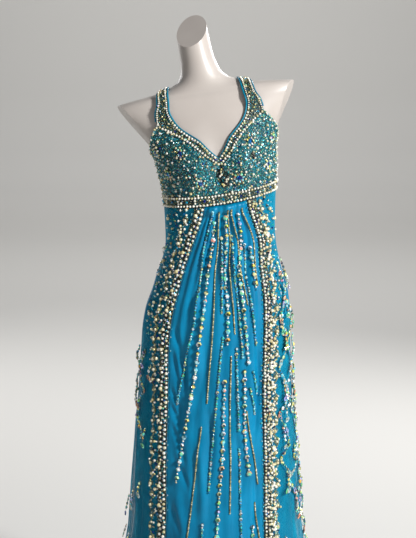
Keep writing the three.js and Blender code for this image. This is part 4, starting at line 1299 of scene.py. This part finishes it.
# %% Table of strands
STRANDS = [
    ("teal", [(-0.55, 1154), (-0.6, 1090), (-0.48, 1018), (-0.44, 910), (-0.64, 788),
              (-0.81, 704)]),
    ("crystal", [(-0.41, 1128), (-0.32, 1044), (-0.27, 934), (-0.32, 826), (-0.45, 732),
                 (-0.6, 638), (-0.76, 524)]),
    ("gold", [(-0.28, 1150), (-0.15, 1030), (-0.07, 876), (-0.15, 712)]),
    ("teal", [(-0.12, 1090), (-0.01, 1020), (0.05, 920)]),
    ("crystal", [(-0.03, 1136), (0.05, 1020), (0.17, 900), (0.18, 848)]),
    ("gold", [(0.03, 1152), (0.15, 1026), (0.32, 870)]),
    ("teal", [(0.13, 1090), (0.32, 966), (0.5, 816)]),
    ("gold", [(0.16, 1152), (0.4, 1022), (0.58, 928)]),
    ("crystal", [(0.44, 1138), (0.38, 1020), (0.48, 918), (0.63, 798)]),
    ("teal", [(0.5, 1066), (0.63, 960), (0.79, 838)]),
    ("crystal", [(0.67, 1056), (0.75, 1010), (0.8, 958)]),
    ("gold", [(0.66, 1150), (0.81, 1068), (0.88, 966)]),
    ("teal", [(0.1, 862), (0.03, 732), (-0.12, 506)]),
    ("gold", [(0.27, 820), (0.28, 672), (0.28, 456)]),
    ("teal", [(0.37, 836), (0.43, 716), (0.45, 648)]),
    ("crystal", [(0.16, 762), (0.14, 624), (0.06, 472), (0.0, 330), (-0.04, 214)]),
    ("crystal", [(0.55, 784), (0.57, 640), (0.66, 544)]),
    ("gold", [(0.61, 692), (0.69, 636), (0.87, 518)]),
    ("teal", [(0.73, 782), (0.89, 728)]),
    ("teal", [(0.67, 744), (0.84, 680)]),
    ("teal", [(0.46, 606), (0.5, 400), (0.52, 268)]),
    ("gold", [(-0.25, 658), (-0.4, 518), (-0.53, 400), (-0.6, 300)]),
    ("teal", [(-0.24, 434), (-0.28, 300), (-0.3, 190)]),
    ("gold", [(0.81, 476), (0.91, 350), (0.93, 240)]),
    ("crystal", [(0.74, 422), (0.76, 320), (0.77, 232)]),
    ("teal", [(-0.66, 380), (-0.7, 260), (-0.72, 150)]),
    ("gold", [(0.24, 400), (0.26, 280), (0.27, 150)]),
    ("gold", [(-0.14, 330), (-0.16, 210), (-0.17, 110)]),
    ("crystal", [(-0.45, 300), (-0.5, 190), (-0.52, 96)]),
    ("teal", [(0.12, 240), (0.13, 140), (0.13, 80)]),
    ("teal", [(0.62, 260), (0.66, 160), (0.67, 92)]),
]


# %% Lines on the skirt
STRAND_STEP = 4.0


def smooth_line(places):
    # A curve through (share of the panel, height) rows, from the top down.
    places = sorted(places, key=lambda p: p[1])
    across = column([(z, a) for a, z in places], 1)
    count = max(int((places[-1][1] - places[0][1]) / STRAND_STEP), 4)
    z = np.linspace(places[-1][1], places[0][1], count)
    return across(z), z


def skirt_line(angle, z, lift):
    by_angle = on_skirt(angle + 0.004, z) - on_skirt(angle - 0.004, z)
    by_height = on_skirt(angle, z + 0.6) - on_skirt(angle, z - 0.6)
    point = on_skirt(angle, z, lift)
    here = posed(point)
    return here, unit(posed(point + unit(np.cross(by_angle, by_height))) - here)


def strand_lines(kind, lift):
    lines = []
    for each, places in STRANDS:
        if each == kind:
            share, z = smooth_line(places)
            lines.append(skirt_line(share * np.radians(centre_panel(z)), z, lift))
    return lines


def picked(line, places):
    # Only some points of a line, with their directions.
    return line[0][places], line[1][places]


# %% String the strands
gold_lines = strand_lines("gold", 1.8)
teal_lines = strand_lines("teal", 2.7)
crystal_lines = strand_lines("crystal", 4.0)
joined("strands_of_gold_seeds", [
    string(gold_lines, seed_bead, gold_seed, 4.3, 2.3, uneven=0.14, jitter=0.35, seed=3),
    string(gold_lines, seed_bead, pearl, 4.4, 41, start=18, seed=4),
])
joined("strands_of_teal_crystals", [
    string(teal_lines, cut_bead, teal_crystal, 7.6, 12.6, uneven=0.12, jitter=0.4, seed=5),
    string(teal_lines, small_cut_bead, teal_crystal, 6.2, 12.6, start=6.3, jitter=0.4, seed=6),
    string(teal_lines, seed_bead, gold_seed, 2.8, 6.3, start=3.15, seed=7),
])
joined("strands_of_large_crystals", [
    string(crystal_lines, cut_bead, aurora, 11.6, 20, uneven=0.14, jitter=0.6, seed=8),
    string(crystal_lines, round_bead, pearl, 4.6, 20, start=10, jitter=0.5, seed=9),
    string(crystal_lines, small_cut_bead, teal_crystal, 5.4, 10, start=5.8, seed=10),
    spots([picked(crystal_lines[0], [88, 100])], cut_bead, pearl, 11.5, seed=18),
    spots([picked(teal_lines[1], [0])], round_bead, gold_pearl, 9.5, seed=19),
])

# %% [markdown]
# ## Pearl borders
# Two rows of pearls in zigzag run down the wearer's right seam, with a gold pearl and a blue
# stone every few centimetres. The other border starts with two rows and thickens to four at
# the hip, with a bunch at its edge every hand's breadth. No row is quite straight: each bead
# is nudged a little, as a hand would leave it. Small glass fills the dark ground between the
# pearls: it is scattered over a plain copy of the cloth that is put away afterwards.


# %% Places beside the seams of the centre panel
def beside_seam(sign, offset, z):
    # offset is in mm from the seam, towards the side
    angle = sign * (seam_angle("centre", z) + offset / seam_arc(z))
    return angle, follow_band(angle, z)


def on_satin(sign, offset, z, lift):
    angle, z = beside_seam(sign, offset, z)
    return skirt_line(angle, z, lift)


def above_shell(angle, z, lift):
    here = posed(on_shell(angle, z, lift))
    return here, unit(posed(on_shell(angle, z, lift + 1)) - here)


def on_net(sign, offset, z, lift):
    angle, z = beside_seam(sign, offset, z)
    low, high = seam_angle("border", z), seam_angle("back", z)
    away = overlay_stand(np.clip((np.abs(angle) - low) / (high - low), 0, 1), z) + lift
    return above_shell(angle, z, fold(angle, z) + away)


BORDER_TOP, BORDER_FOOT, BORDER_POINTS = 1161, HEM + 10, 280
ON_BORDER = 5.0
# offset from the seam, top, size, spacing, first bead, jitter
LEFT_ROWS = [
    (3.6, BORDER_TOP, 6.2, 7.9, 0.0, 0.9), (11.4, BORDER_TOP, 6.0, 10.4, 4.0, 2.4),
    (17.8, 900, 6.2, 10.0, 1.5, 2.6), (24.0, 850, 5.6, 12.5, 5.0, 3.4),
]
RIGHT_ROWS = [(4.4, BORDER_TOP, 6.8, 10.9, 0.0, 1.2), (14.8, BORDER_TOP, 6.4, 10.9, 5.4, 1.8)]


def border_rows(sign, rows, seed):
    made = []
    for k, (offset, top, size, spacing, start, jitter) in enumerate(rows):
        z = np.linspace(top, BORDER_FOOT, BORDER_POINTS)
        made.append(string([on_satin(sign, offset, z, ON_BORDER)], round_bead, pearl, size,
                           spacing, start=start, uneven=0.2, jitter=jitter, seed=seed + k))
    return made


# %% Grounds to sew on
grounds = []


def ground(points, middle=None, cover=1.0):
    made = sheet_mesh("ground", points, middle, cover)
    grounds.append(made)
    return made


# %% Sew the borders
full = np.linspace(BORDER_TOP, BORDER_FOOT, BORDER_POINTS)
BUNCHES_FROM, BUNCHES_TO, BUNCH_PITCH = 1120, 60, 47.0
bunch_random = np.random.default_rng(8)
bunches = []
for height in np.arange(BUNCHES_FROM, BUNCHES_TO, -BUNCH_PITCH):
    count = bunch_random.integers(4, 8)
    offsets = bunch_random.uniform(23, 33, count)
    heights = height + bunch_random.uniform(-9, 9, count)
    bunches.append(on_satin(1, offsets, heights, ON_BORDER + 0.4))
fillings = {}
for side, sign in SIDES:
    angle, z = border_sheet(sign, 5, 120)
    under = ground(posed(on_skirt(angle, z, 2.2)))
    fillings[side] = [
        scatter(under, seed_bead, gold_seed, 2.8, 5.4, 1.0, seed=31),
        scatter(under, small_cut_bead, teal_crystal, 3.8, 7.4, 1.4, tilt=0.6, seed=32),
    ]
joined("border_pearls_right", border_rows(-1, RIGHT_ROWS, 11) + fillings["right"] + [
    string([on_satin(-1, 17.5, full, 6.4)], round_bead, gold_pearl, 9.0, 46, 12, jitter=1, seed=13),
    string([on_satin(-1, 9.5, full, 4.6)], stone_bead, blue_stone, 5.0, 23, 17, jitter=2, seed=14),
    string([on_satin(-1, 9.8, full, 4.4)], small_cut_bead, teal_crystal, 4.6, 8.3, jitter=2.6,
           uneven=0.3, seed=15),
    string([on_satin(-1, 22.0, full, 3.4)], seed_bead, gold_seed, 2.8, 4.6, jitter=1.2, seed=16),
    string([on_satin(-1, -2.0, full, 2.0)], small_cut_bead, teal_crystal, 3.6, 17, jitter=1.4,
           seed=17),
])
joined("border_pearls_left", border_rows(1, LEFT_ROWS, 20) + fillings["left"] + [
    spots(bunches, round_bead, pearl, 6.2, uneven=0.2, seed=24),
    string([on_satin(1, -2.5, full, 2.2)], small_cut_bead, teal_crystal, 4.2, 11, uneven=0.3,
           jitter=1.5, seed=25),
    string([on_satin(1, 8.0, full, 5.4)], stone_bead, blue_stone, 5.4, 31, 20, jitter=2, seed=26),
    string([on_satin(1, 20.0, full, 6.4)], round_bead, gold_pearl, 7.8, 36, 9, jitter=3, seed=27),
    string([on_satin(1, 15.0, full, 3.8)], small_cut_bead, aurora, 4.4, 9.4, jitter=2.6, seed=28),
    string([on_satin(1, 21.5, full, 3.4)], seed_bead, gold_seed, 2.8, 4.6, jitter=1.6, seed=29),
])

# %% [markdown]
# ## Beading of the bands
# Along the neckline and the straps two rows of pearls shut in a dark ground with olive gold
# seeds, blue stones and crystals here and there. The band under the bust is made the same
# way, all round the body.

# %% Lines along a band
ROW_STEP = 0.05


def band_line(band, sign, first, last, distance, lift, from_far_edge):
    along = np.arange(first, last + ROW_STEP / 2, ROW_STEP)
    width = np.linalg.norm(band(along, 0.0) - band(along, 1.0), axis=-1)
    across = 1 - distance / width if from_far_edge else distance / width
    here = posed(mirrored(band(along, across, lift), sign))
    above = posed(mirrored(band(along, across, lift + 1), sign))
    return here, unit(above - here)


EDGE_ROW = 3.2
NECK_ROW = BINDING_WIDTH + 2.8

# %% Sew the neck bands and straps
for place, (band, rows, corner) in bands.items():
    runs = []
    chest_lines, strap_lines = [], []
    for sign in (1, -1):
        for distance, far, first in ((NECK_ROW, False, 0.35), (EDGE_ROW, True, 0.12)):
            chest_lines.append(band_line(band, sign, first, corner, distance, 2.4, far))
            strap_lines.append(band_line(band, sign, corner + 0.1, rows, distance, 1.7, far))
        sheet = band_sheet(band, rows, lambda w: w * 0 + BINDING_WIDTH + 1, lambda w: w - 1, 48, 7)
        points = mirrored(sheet, sign)
        under = ground(posed(points), posed(strap_middle(points)))
        runs += [
            scatter(under, seed_bead, gold_seed, 2.7, 3.3, 0.8, seed=41),
            scatter(under, sequin_bead, sequin_foil, 3.0, 3.4, 0.8, tilt=0.6, seed=42),
            scatter(under, stone_bead, blue_stone, 4.8, 15, 1.6, seed=43),
            scatter(under, cut_bead, aurora, 4.8, 12, 2.0, seed=44),
            scatter(under, round_bead, gold_pearl, 4.8, 17, 2.2, seed=45),
        ]
    runs.append(string(chest_lines, round_bead, pearl, 5.6, 7.4, jitter=0.4, seed=46))
    runs.append(string(strap_lines, round_bead, pearl, 4.0, 4.8, jitter=0.2, seed=47))
    joined(f"beading_of_{place}_neck_bands", runs)


# %% Sew the band under the bust
def waist_line(start, end, across, lift):
    angle = np.linspace(start, end, 160)
    here = posed(waist_band(angle, across + 0 * angle, lift))
    above = posed(waist_band(angle, across + 0 * angle, lift + 1))
    return here, unit(above - here)


ROW_IN = 0.14
runs = []
for name, start, end, columns in band_parts:
    angle = np.linspace(start, end, columns)[None, :]
    across = np.linspace(0.06, 0.94, 5)[:, None]
    under = ground(posed(waist_band(angle + 0 * across, across + 0 * angle)))
    rows = [waist_line(start, end, share, 2.5) for share in (ROW_IN, 1 - ROW_IN)]
    pairs = [waist_line(start, end, share, 2.4) for share in (0.38, 0.62)]
    middle = [waist_line(start, end, 0.5, 2.0)]
    runs += [
        string(rows, round_bead, pearl, 5.7, 7.8, start=2, jitter=0.4, seed=51),
        string(pairs, round_bead, pearl, 5.0, 42, 33, jitter=0.6, seed=53),
        string(middle, stone_bead, blue_stone, 6.6, 42, 12, jitter=1, seed=52),
        string(middle, round_bead, gold_pearl, 5.8, 63, 21, jitter=2, seed=54),
        scatter(under, seed_bead, gold_seed, 2.8, 3.6, 0.8, seed=55),
        scatter(under, sequin_bead, sequin_foil, 3.0, 3.6, 0.9, tilt=0.6, seed=57),
        scatter(under, cut_bead, aurora, 4.2, 13, 1.8, seed=56),
    ]
joined("beading_of_underbust_band", runs)

# %% [markdown]
# ## Beading of the cups and the back
# The cups are filled edge to edge with foil sequins and teal glass, tilted at all angles so
# that they glitter. Pearls stand above them, and a few flower clusters have a dark stone in a
# ring of crystals. The clusters are generic: a centre, a ring and a few pearls round it.

# %% Clusters: degrees from the centre front, height, radius, crystals in the ring
CLUSTERS = {
    "front": [
        (28, 1298, 8.5, 7), (12, 1222, 9, 8), (50, 1240, 7.5, 6), (60, 1296, 6.5, 6),
        (-31, 1294, 8, 7), (-22, 1222, 8, 7), (-56, 1250, 7.5, 6), (-64, 1300, 6.5, 6),
    ],
    "back": [
        (152, 1238, 8, 7), (122, 1254, 7, 6), (-152, 1238, 8, 7), (-122, 1254, 7, 6),
        (134, 1300, 7, 6), (-134, 1300, 7, 6),
    ],
}


def ring_spots(clusters, reach, lift, turn=0.0, extra=0):
    # Places in a ring round each cluster's middle; a reach of 0 gives the middle itself.
    found = []
    for degrees, z, radius, count in clusters:
        around = (np.arange(count + extra) + turn) * 2 * np.pi / (count + extra)
        across = radius * reach * np.cos(around)
        angle = np.radians(degrees) + across / half_width(z)
        found.append(above_shell(angle, z + radius * reach * np.sin(around), lift))
    return found


def middle_spots(clusters, lift):
    rows = np.array(clusters, float)
    return [above_shell(np.radians(rows[:, 0]), rows[:, 1], lift)]


def clear_of(clusters, angle, z, reach):
    # 1 on the cloth and 0 within reach of a cluster
    cover = np.ones(angle.shape)
    for degrees, middle, radius, _ in clusters:
        off = np.hypot((angle - np.radians(degrees)) * half_width(middle), z - middle)
        cover = cover * smooth(off, radius * reach - 1, radius * reach + 1)
    return cover


# %% Sew the cups and the back panels
for place, (angle, z) in bodices.items():
    clusters = CLUSTERS[place]
    fill, top = [], [
        spots(ring_spots(clusters, 1.0, 3.2), cut_bead, aurora, 7.0, seed=91),
        spots(ring_spots(clusters, 0.45, 3.2, 0.5), stone_bead, blue_stone, 4.4, seed=92),
        spots(middle_spots(clusters, 4.2), stone_bead, blue_stone, 6.4, seed=93),
        spots(ring_spots(clusters, 1.7, 2.6, 0.5, 1), round_bead, gold_pearl, 4.6, seed=94),
    ]
    for sign, seed in ((1, 60), (-1, 80)):
        room = clear_of(clusters, sign * angle, z, 1.5)
        wide_room = clear_of(clusters, sign * angle, z, 2.1)
        under = ground(posed(on_shell(sign * angle, z)), cover=room)
        fill += [
            scatter(under, sequin_bead, sequin_foil, 3.1, 2.05, 0.7, tilt=0.6, seed=seed + 1),
            scatter(under, bugle_bead, teal_crystal, 3.4, 4.6, 1.5, tilt=1.5, seed=seed + 2),
            scatter(under, seed_bead, gold_seed, 2.4, 8.0, 1.7, seed=seed + 3),
            scatter(under, small_cut_bead, aurora, 3.6, 14, 2.0, tilt=0.8, seed=seed + 4),
        ]
        under = ground(posed(on_shell(sign * angle, z)), cover=wide_room)
        top += [
            scatter(under, round_bead, pearl, 5.4, 13.5, 2.8, seed=seed + 5),
            scatter(under, round_bead, gold_pearl, 6.2, 38, 3.0, seed=seed + 6),
            scatter(under, stone_bead, blue_stone, 5.2, 30, 2.2, seed=seed + 7),
        ]
    joined(f"sequins_of_{place}_bodice", fill)
    joined(f"pearls_of_{place}_bodice", top)

# %% The dark crystals under the point of the neckline, a patch of them as painted shade on a cup, and the edge of the armholes
TIP_ROWS, TIP_COLUMNS = 9, 5
TIP_HALF_WIDTH, TIP_TOP, TIP_LENGTH = 9.5, 1250, 46
ARMHOLE = slice(38, 56)  # the columns of a bodice sheet that end at the armhole
jet_random = np.random.default_rng(12)
height = np.repeat(np.linspace(1246, 1208, TIP_ROWS), TIP_COLUMNS)
spread = TIP_HALF_WIDTH * np.sin(np.pi * (TIP_TOP - height) / TIP_LENGTH) ** 0.7
side_by_side = np.tile(np.linspace(-1, 1, TIP_COLUMNS), TIP_ROWS)
tip_angle = (side_by_side * spread - 1) / half_width(height)
tip = [above_shell(tip_angle + jet_random.uniform(-0.008, 0.008, len(height)), height, 2.8)]
# a patch of jet crystals on the wearer's left cup, where the cup lies in shade: painted shade
dark = [above_shell(np.radians(30) + jet_random.uniform(-0.05, 0.05, 12),
                  1266 + jet_random.uniform(-6, 6, 12), 2.6)]
runs = [
    spots(tip, cut_bead, jet, 4.9, uneven=0.35, seed=111),
    spots([picked(tip[0], [3, 11, 19, 22, 36, 41])], cut_bead, aurora, 5.2, seed=118),
    spots(dark, cut_bead, jet, 5.0, uneven=0.3, seed=112),
    spots([picked(tip[0], [7, 16, 28, 33])], round_bead, pearl, 5.6, seed=113),
]
for angle, z in bodices.values():
    for sign in (1, -1):
        line = [above_shell(sign * angle[-1, ARMHOLE], z[-1, ARMHOLE] - 1.4, 1.2)]
        runs += [
            string(line, sequin_bead, sequin_foil, 4.4, 2.0, uneven=0.3, jitter=1.2, seed=114),
            string(line, seed_bead, gold_seed, 2.8, 3.4, jitter=1.2, seed=115),
            string(line, small_cut_bead, teal_crystal, 4.0, 7, 3, jitter=1.4, seed=116),
            string(line, round_bead, pearl, 4.8, 14, 5, jitter=1, seed=117),
        ]
joined("crystals_of_neck_point_and_armholes", runs)

# %% [markdown]
# ## Beading of the side panels
# Beside each border runs a wave of gold seeds that curls round a large pearl in each bend.
# Over the hip the beading spreads wide and thins out. Lower down the net carries hanging
# chains in a loose lattice, with oval links and drops where they meet.

# %% Scrolls beside the borders
SCROLL_PITCH = 50


def scrolls(sign, middle, reach):
    z = np.linspace(BORDER_TOP - 12, HEM + 24, 800)
    swing = 2 * np.pi * z / SCROLL_PITCH
    wave = on_satin(sign, middle + reach * np.sin(swing), z, 4.6)
    curls, hearts = [], []
    for k in range(int((BORDER_TOP - 40) / SCROLL_PITCH * 2)):
        height = (k + 2.5) * SCROLL_PITCH / 2
        side = 1 if k % 2 else -1
        turn = np.linspace(0, 2.6 * np.pi, 44)
        radius = lerp(8.5, 3.2, turn / turn[-1])
        at = middle - side * reach * 0.25
        curls.append(on_satin(sign, at + side * radius * np.cos(turn),
                              height + radius * np.sin(turn), 4.8))
        hearts.append(on_satin(sign, np.array([at]), np.array([height]), 6.0))
    return [wave], curls, hearts


for side, sign, middle, reach in (("left", 1, 35, 9), ("right", -1, 43, 7)):
    wave, curls, hearts = scrolls(sign, middle, reach)
    joined(f"scrolls_beside_{side}_border", [
        string(wave, seed_bead, gold_seed, 3.2, 2.3, jitter=0.4, seed=121),
        string(curls, seed_bead, gold_seed, 2.8, 2.9, jitter=0.5, seed=122),
        spots(hearts, round_bead, gold_pearl, 7.8, uneven=0.14, seed=123),
        string(wave, small_cut_bead, aurora, 4.8, 23, start=5, jitter=2.5, seed=124),
        string(wave, stone_bead, blue_stone, 5.0, 61, start=25, jitter=2.5, seed=125),
        string(wave, round_bead, pearl, 5.2, 19, start=14, jitter=4.5, uneven=0.2, seed=127),
    ])

# %% Beading over the hips
NET_WIDTH = 200
for side, sign, widest, seed in (("left", 1, 60, 130), ("right", -1, 105, 140)):
    _, angle, z = skirt_sheet((sign, "border", 2), (sign, "back", -1), 50, 100)
    offset = (np.abs(angle) - seam_angle("border", z)) * half_width(z)
    reach = 16 + widest * smooth(z, 720, 1000)
    cover = (1 - smooth(offset, 0.4 * reach, reach)) * smooth(z, HEM, 120)
    share = np.clip(offset / NET_WIDTH, 0, 1)
    over_net = fold(angle, z) + overlay_stand(share, z)
    under = ground(posed(on_shell(angle, z, over_net)), cover=cover)
    joined(f"hip_beading_{side}", [
        scatter(under, round_bead, pearl, 5.2, 14, 2.6, uneven=0.25, seed=seed),
        scatter(under, round_bead, gold_pearl, 7.6, 27, 3.6, seed=seed + 1),
        scatter(under, stone_bead, blue_stone, 5.2, 24, 2.2, seed=seed + 2),
        scatter(under, seed_bead, gold_seed, 2.8, 9.0, 1.2, seed=seed + 3),
        scatter(under, cut_bead, aurora, 6.0, 19, 2.4, seed=seed + 4),
        scatter(under, bugle_bead, teal_crystal, 6.5, 13, 1.8, tilt=1.4, seed=seed + 5),
    ])

# %% Lattice of hanging chains: middle of each chain in mm from the seam
CHAINS = (62, 90, 118, 148, 180)
CHAIN_SWING = 14
CHAIN_PITCH = 104
CHAIN_STAND = 5
CHAIN_TOP = {"left": 1010, "right": 900}
CHAIN_LAST, CHAIN_FOOT = 150, 60
DROP_SHIFT, DROP_LAST = 26, 140


def chain_offset(k, z):
    # Neighbours swing in turn, so that they meet and part like the sides of a net.
    phase = np.pi * k + 0.5 * np.sin(z / 83 + 2 * k)
    return CHAINS[k] + CHAIN_SWING * np.cos(2 * np.pi * z / CHAIN_PITCH + phase)


def chain_parts(sign, random, top, kept):
    parts = []
    for k in range(len(CHAINS)):
        z = top - random.uniform(0, 70)
        while z > CHAIN_LAST:
            length = random.uniform(0.9, 2.2) * CHAIN_PITCH
            if random.random() < kept:
                height = np.arange(z, max(z - length, CHAIN_FOOT), -3.0)
                loose = np.abs(np.sin(2 * np.pi * height / CHAIN_PITCH))
                stand = 3 + CHAIN_STAND * loose
                parts.append(on_net(sign, chain_offset(k, height), height, stand))
            z -= length * random.uniform(0.8, 1.05)
    return parts


def drops_from(sign, random, top, kept):
    # Short ends that hang free below the places where two chains meet.
    drops, ends = [], []
    for k in range(len(CHAINS)):
        for z in np.arange(top - DROP_SHIFT * (k % 2), DROP_LAST, -CHAIN_PITCH / 2):
            if random.random() < kept * 0.7:
                hang = random.uniform(16, 40)
                t = np.linspace(0, 1, 12)
                at = chain_offset(k, z) + random.uniform(-3, 3)
                drops.append(on_net(sign, at + 2 * np.sin(3 * t), z - hang * t, 4 + 5 * t))
                low = np.array([z - hang - 8])
                ends.append(on_net(sign, at + 0 * low, low, 9.0))
    return drops, ends


for side, sign, kept in (("left", 1, 0.78), ("right", -1, 0.36)):
    random = np.random.default_rng(5 + sign)
    chains = chain_parts(sign, random, CHAIN_TOP[side], kept)
    drops, ends = drops_from(sign, random, CHAIN_TOP[side], kept)
    joined(f"hanging_chains_{side}", [
        string(chains, small_cut_bead, teal_crystal, 6.0, 7.6, uneven=0.25, seed=151),
        string(chains, seed_bead, gold_seed, 3.2, 7.6, start=3.8, uneven=0.2, seed=152),
        string(chains, cut_bead, aurora, 9.0, 22.8, start=7.6, uneven=0.3, jitter=1, seed=157),
        string(chains, link_bead, aurora_ring, 16, 46, start=22, uneven=0.15, jitter=1, seed=153),
        string(drops, seed_bead, gold_seed, 3.0, 3.4, seed=154),
        string(drops, cut_bead, aurora, 7.4, 9.5, start=5, uneven=0.25, seed=155),
        spots(ends, link_bead, aurora_ring, 16, uneven=0.15, seed=156),
    ])

# %% [markdown]
# ## Zip
# A coil zip shows as two rows of teeth that mesh. The tape lies under them in the slot of the
# back seam. One line up the middle of the back carries all the teeth.

# %% Zip tape and teeth
zip_z = np.linspace(ZIP_FOOT, ZIP_TOP, 120)[:, None]
edge_angle = angle_at(ZIP_HALF - 0.3, zip_z, True)
tape_angle = lerp(2 * np.pi - edge_angle, edge_angle, np.linspace(0, 1, 5)[None, :])
tape_points = posed(on_shell(tape_angle, zip_z + 0 * tape_angle, -0.5))
cloth_piece("zip_tape", tape_points, 0.8, piping_satin,
            ["zip_chain"])
tooth_bead = bead_shape("tooth_bead", rings_of([(0.5, -0.2), (0.5, 0.1), (0.36, 0.2)], 6))
bead_shapes.append(tooth_bead)


def zip_line(shift_x, lift):
    z = np.linspace(ZIP_FOOT + 1, ZIP_TOP - 1, 200)
    return above_shell(np.pi - shift_x / half_width(z), z, lift)


def nickel_plate():
    # die-cast zinc with bright nickel: soft gloss, rubbed in fine lines along the zip
    finish, tree, shader = new_finish("nickel_plated_zinc")
    place = add(tree, "ShaderNodeTexCoord").outputs["Object"]
    marks = noise(tree, stretched(tree, place, 0.15), 0.8, 3.0)
    set_inputs(tree, shader, Metallic=1.0,
               Base_Color=ramp(tree, marks, [(0.35, "#aeb0b2"), (0.65, "#eceef0")]),
               Roughness=between(tree, marks, 0.24, 0.5),
               Normal=bumped(tree, marks, 0.5, 0.0003))
    return finish


zip_metal = nickel_plate()
joined("zip_teeth", [
    string([zip_line(0.8, 0.2)], tooth_bead, zip_metal, 1.9, 2.0, seed=161, uneven=0.0),
    string([zip_line(-0.8, 0.2)], tooth_bead, zip_metal, 1.9, 2.0, 1.0, seed=162, uneven=0.0),
])
for name in ("zip_slider", "zip_pull_tab"):
    set_finish(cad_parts[name], zip_metal)

# %% [markdown]
# ## Lights and floor
# Studio light: a key from the front right that is small enough to make the crystals sparkle,
# a weak fill from the left, two lights from behind that draw the outline, and one for the
# pale wall. The camera sees floor and wall as one surface.

# %% Floor and far wall in one sweep: distance back and height, in millimetres
stage_finish, tree, shader = new_finish("pale_paper_sweep")
set_inputs(tree, shader, Base_Color=linear("#d6d4d0"), Roughness=0.9)
SWEEP_HALF_WIDTH = 16000
SWEEP = [(-16000, 0), (8200, 0), (8900, 60), (9500, 260), (9900, 640), (10100, 1200),
         (10160, 2000), (10160, 9000)]
profile = np.array(SWEEP, float)
wall = np.stack([np.stack([np.full(len(SWEEP), x), profile[:, 0], profile[:, 1]], -1)
                 for x in (-SWEEP_HALF_WIDTH, SWEEP_HALF_WIDTH)], 1)
sweep = sheet_mesh("floor_sweep", wall, np.array([0, 0, -40000.0]))
sweep.data.materials.append(stage_finish)


# %% Lights: place and size in metres, power in watts
def area_light(name, place, size, power, aim=(0, 0, 1.0)):
    light = bpy.data.lights.new(name, "AREA")
    light.energy = power
    light.size = size
    made = in_scene(name, light)
    made.location = place
    made.rotation_mode = "QUATERNION"
    made.rotation_quaternion = (Vector(aim) - Vector(place)).to_track_quat("-Z", "Y")
    made.visible_camera = False


area_light("key_light", (2.7, -2.3, 2.7), 0.6, 178, (0, 0, 1.05))
area_light("fill_light", (-2.6, -2.6, 1.6), 1.8, 5)
area_light("rim_light", (1.4, 2.6, 2.4), 1.2, 60)
area_light("back_fill", (-2.4, 3.0, 2.2), 1.8, 40)
area_light("wall_light", (0, 5.0, 5.6), 4.0, 230, (0, 10.1, 0.4))
world = bpy.data.worlds.new("studio")
world.use_nodes = True
world.node_tree.nodes["Background"].inputs["Color"].default_value = linear("#dfe3e8")
world.node_tree.nodes["Background"].inputs["Strength"].default_value = 0.2
bpy.context.scene.world = world

# %% Put the bead shapes and grounds away
for shape in bead_shapes + grounds:
    bpy.data.objects.remove(shape)
print("triangles of beads:", sum(sewn_triangles))
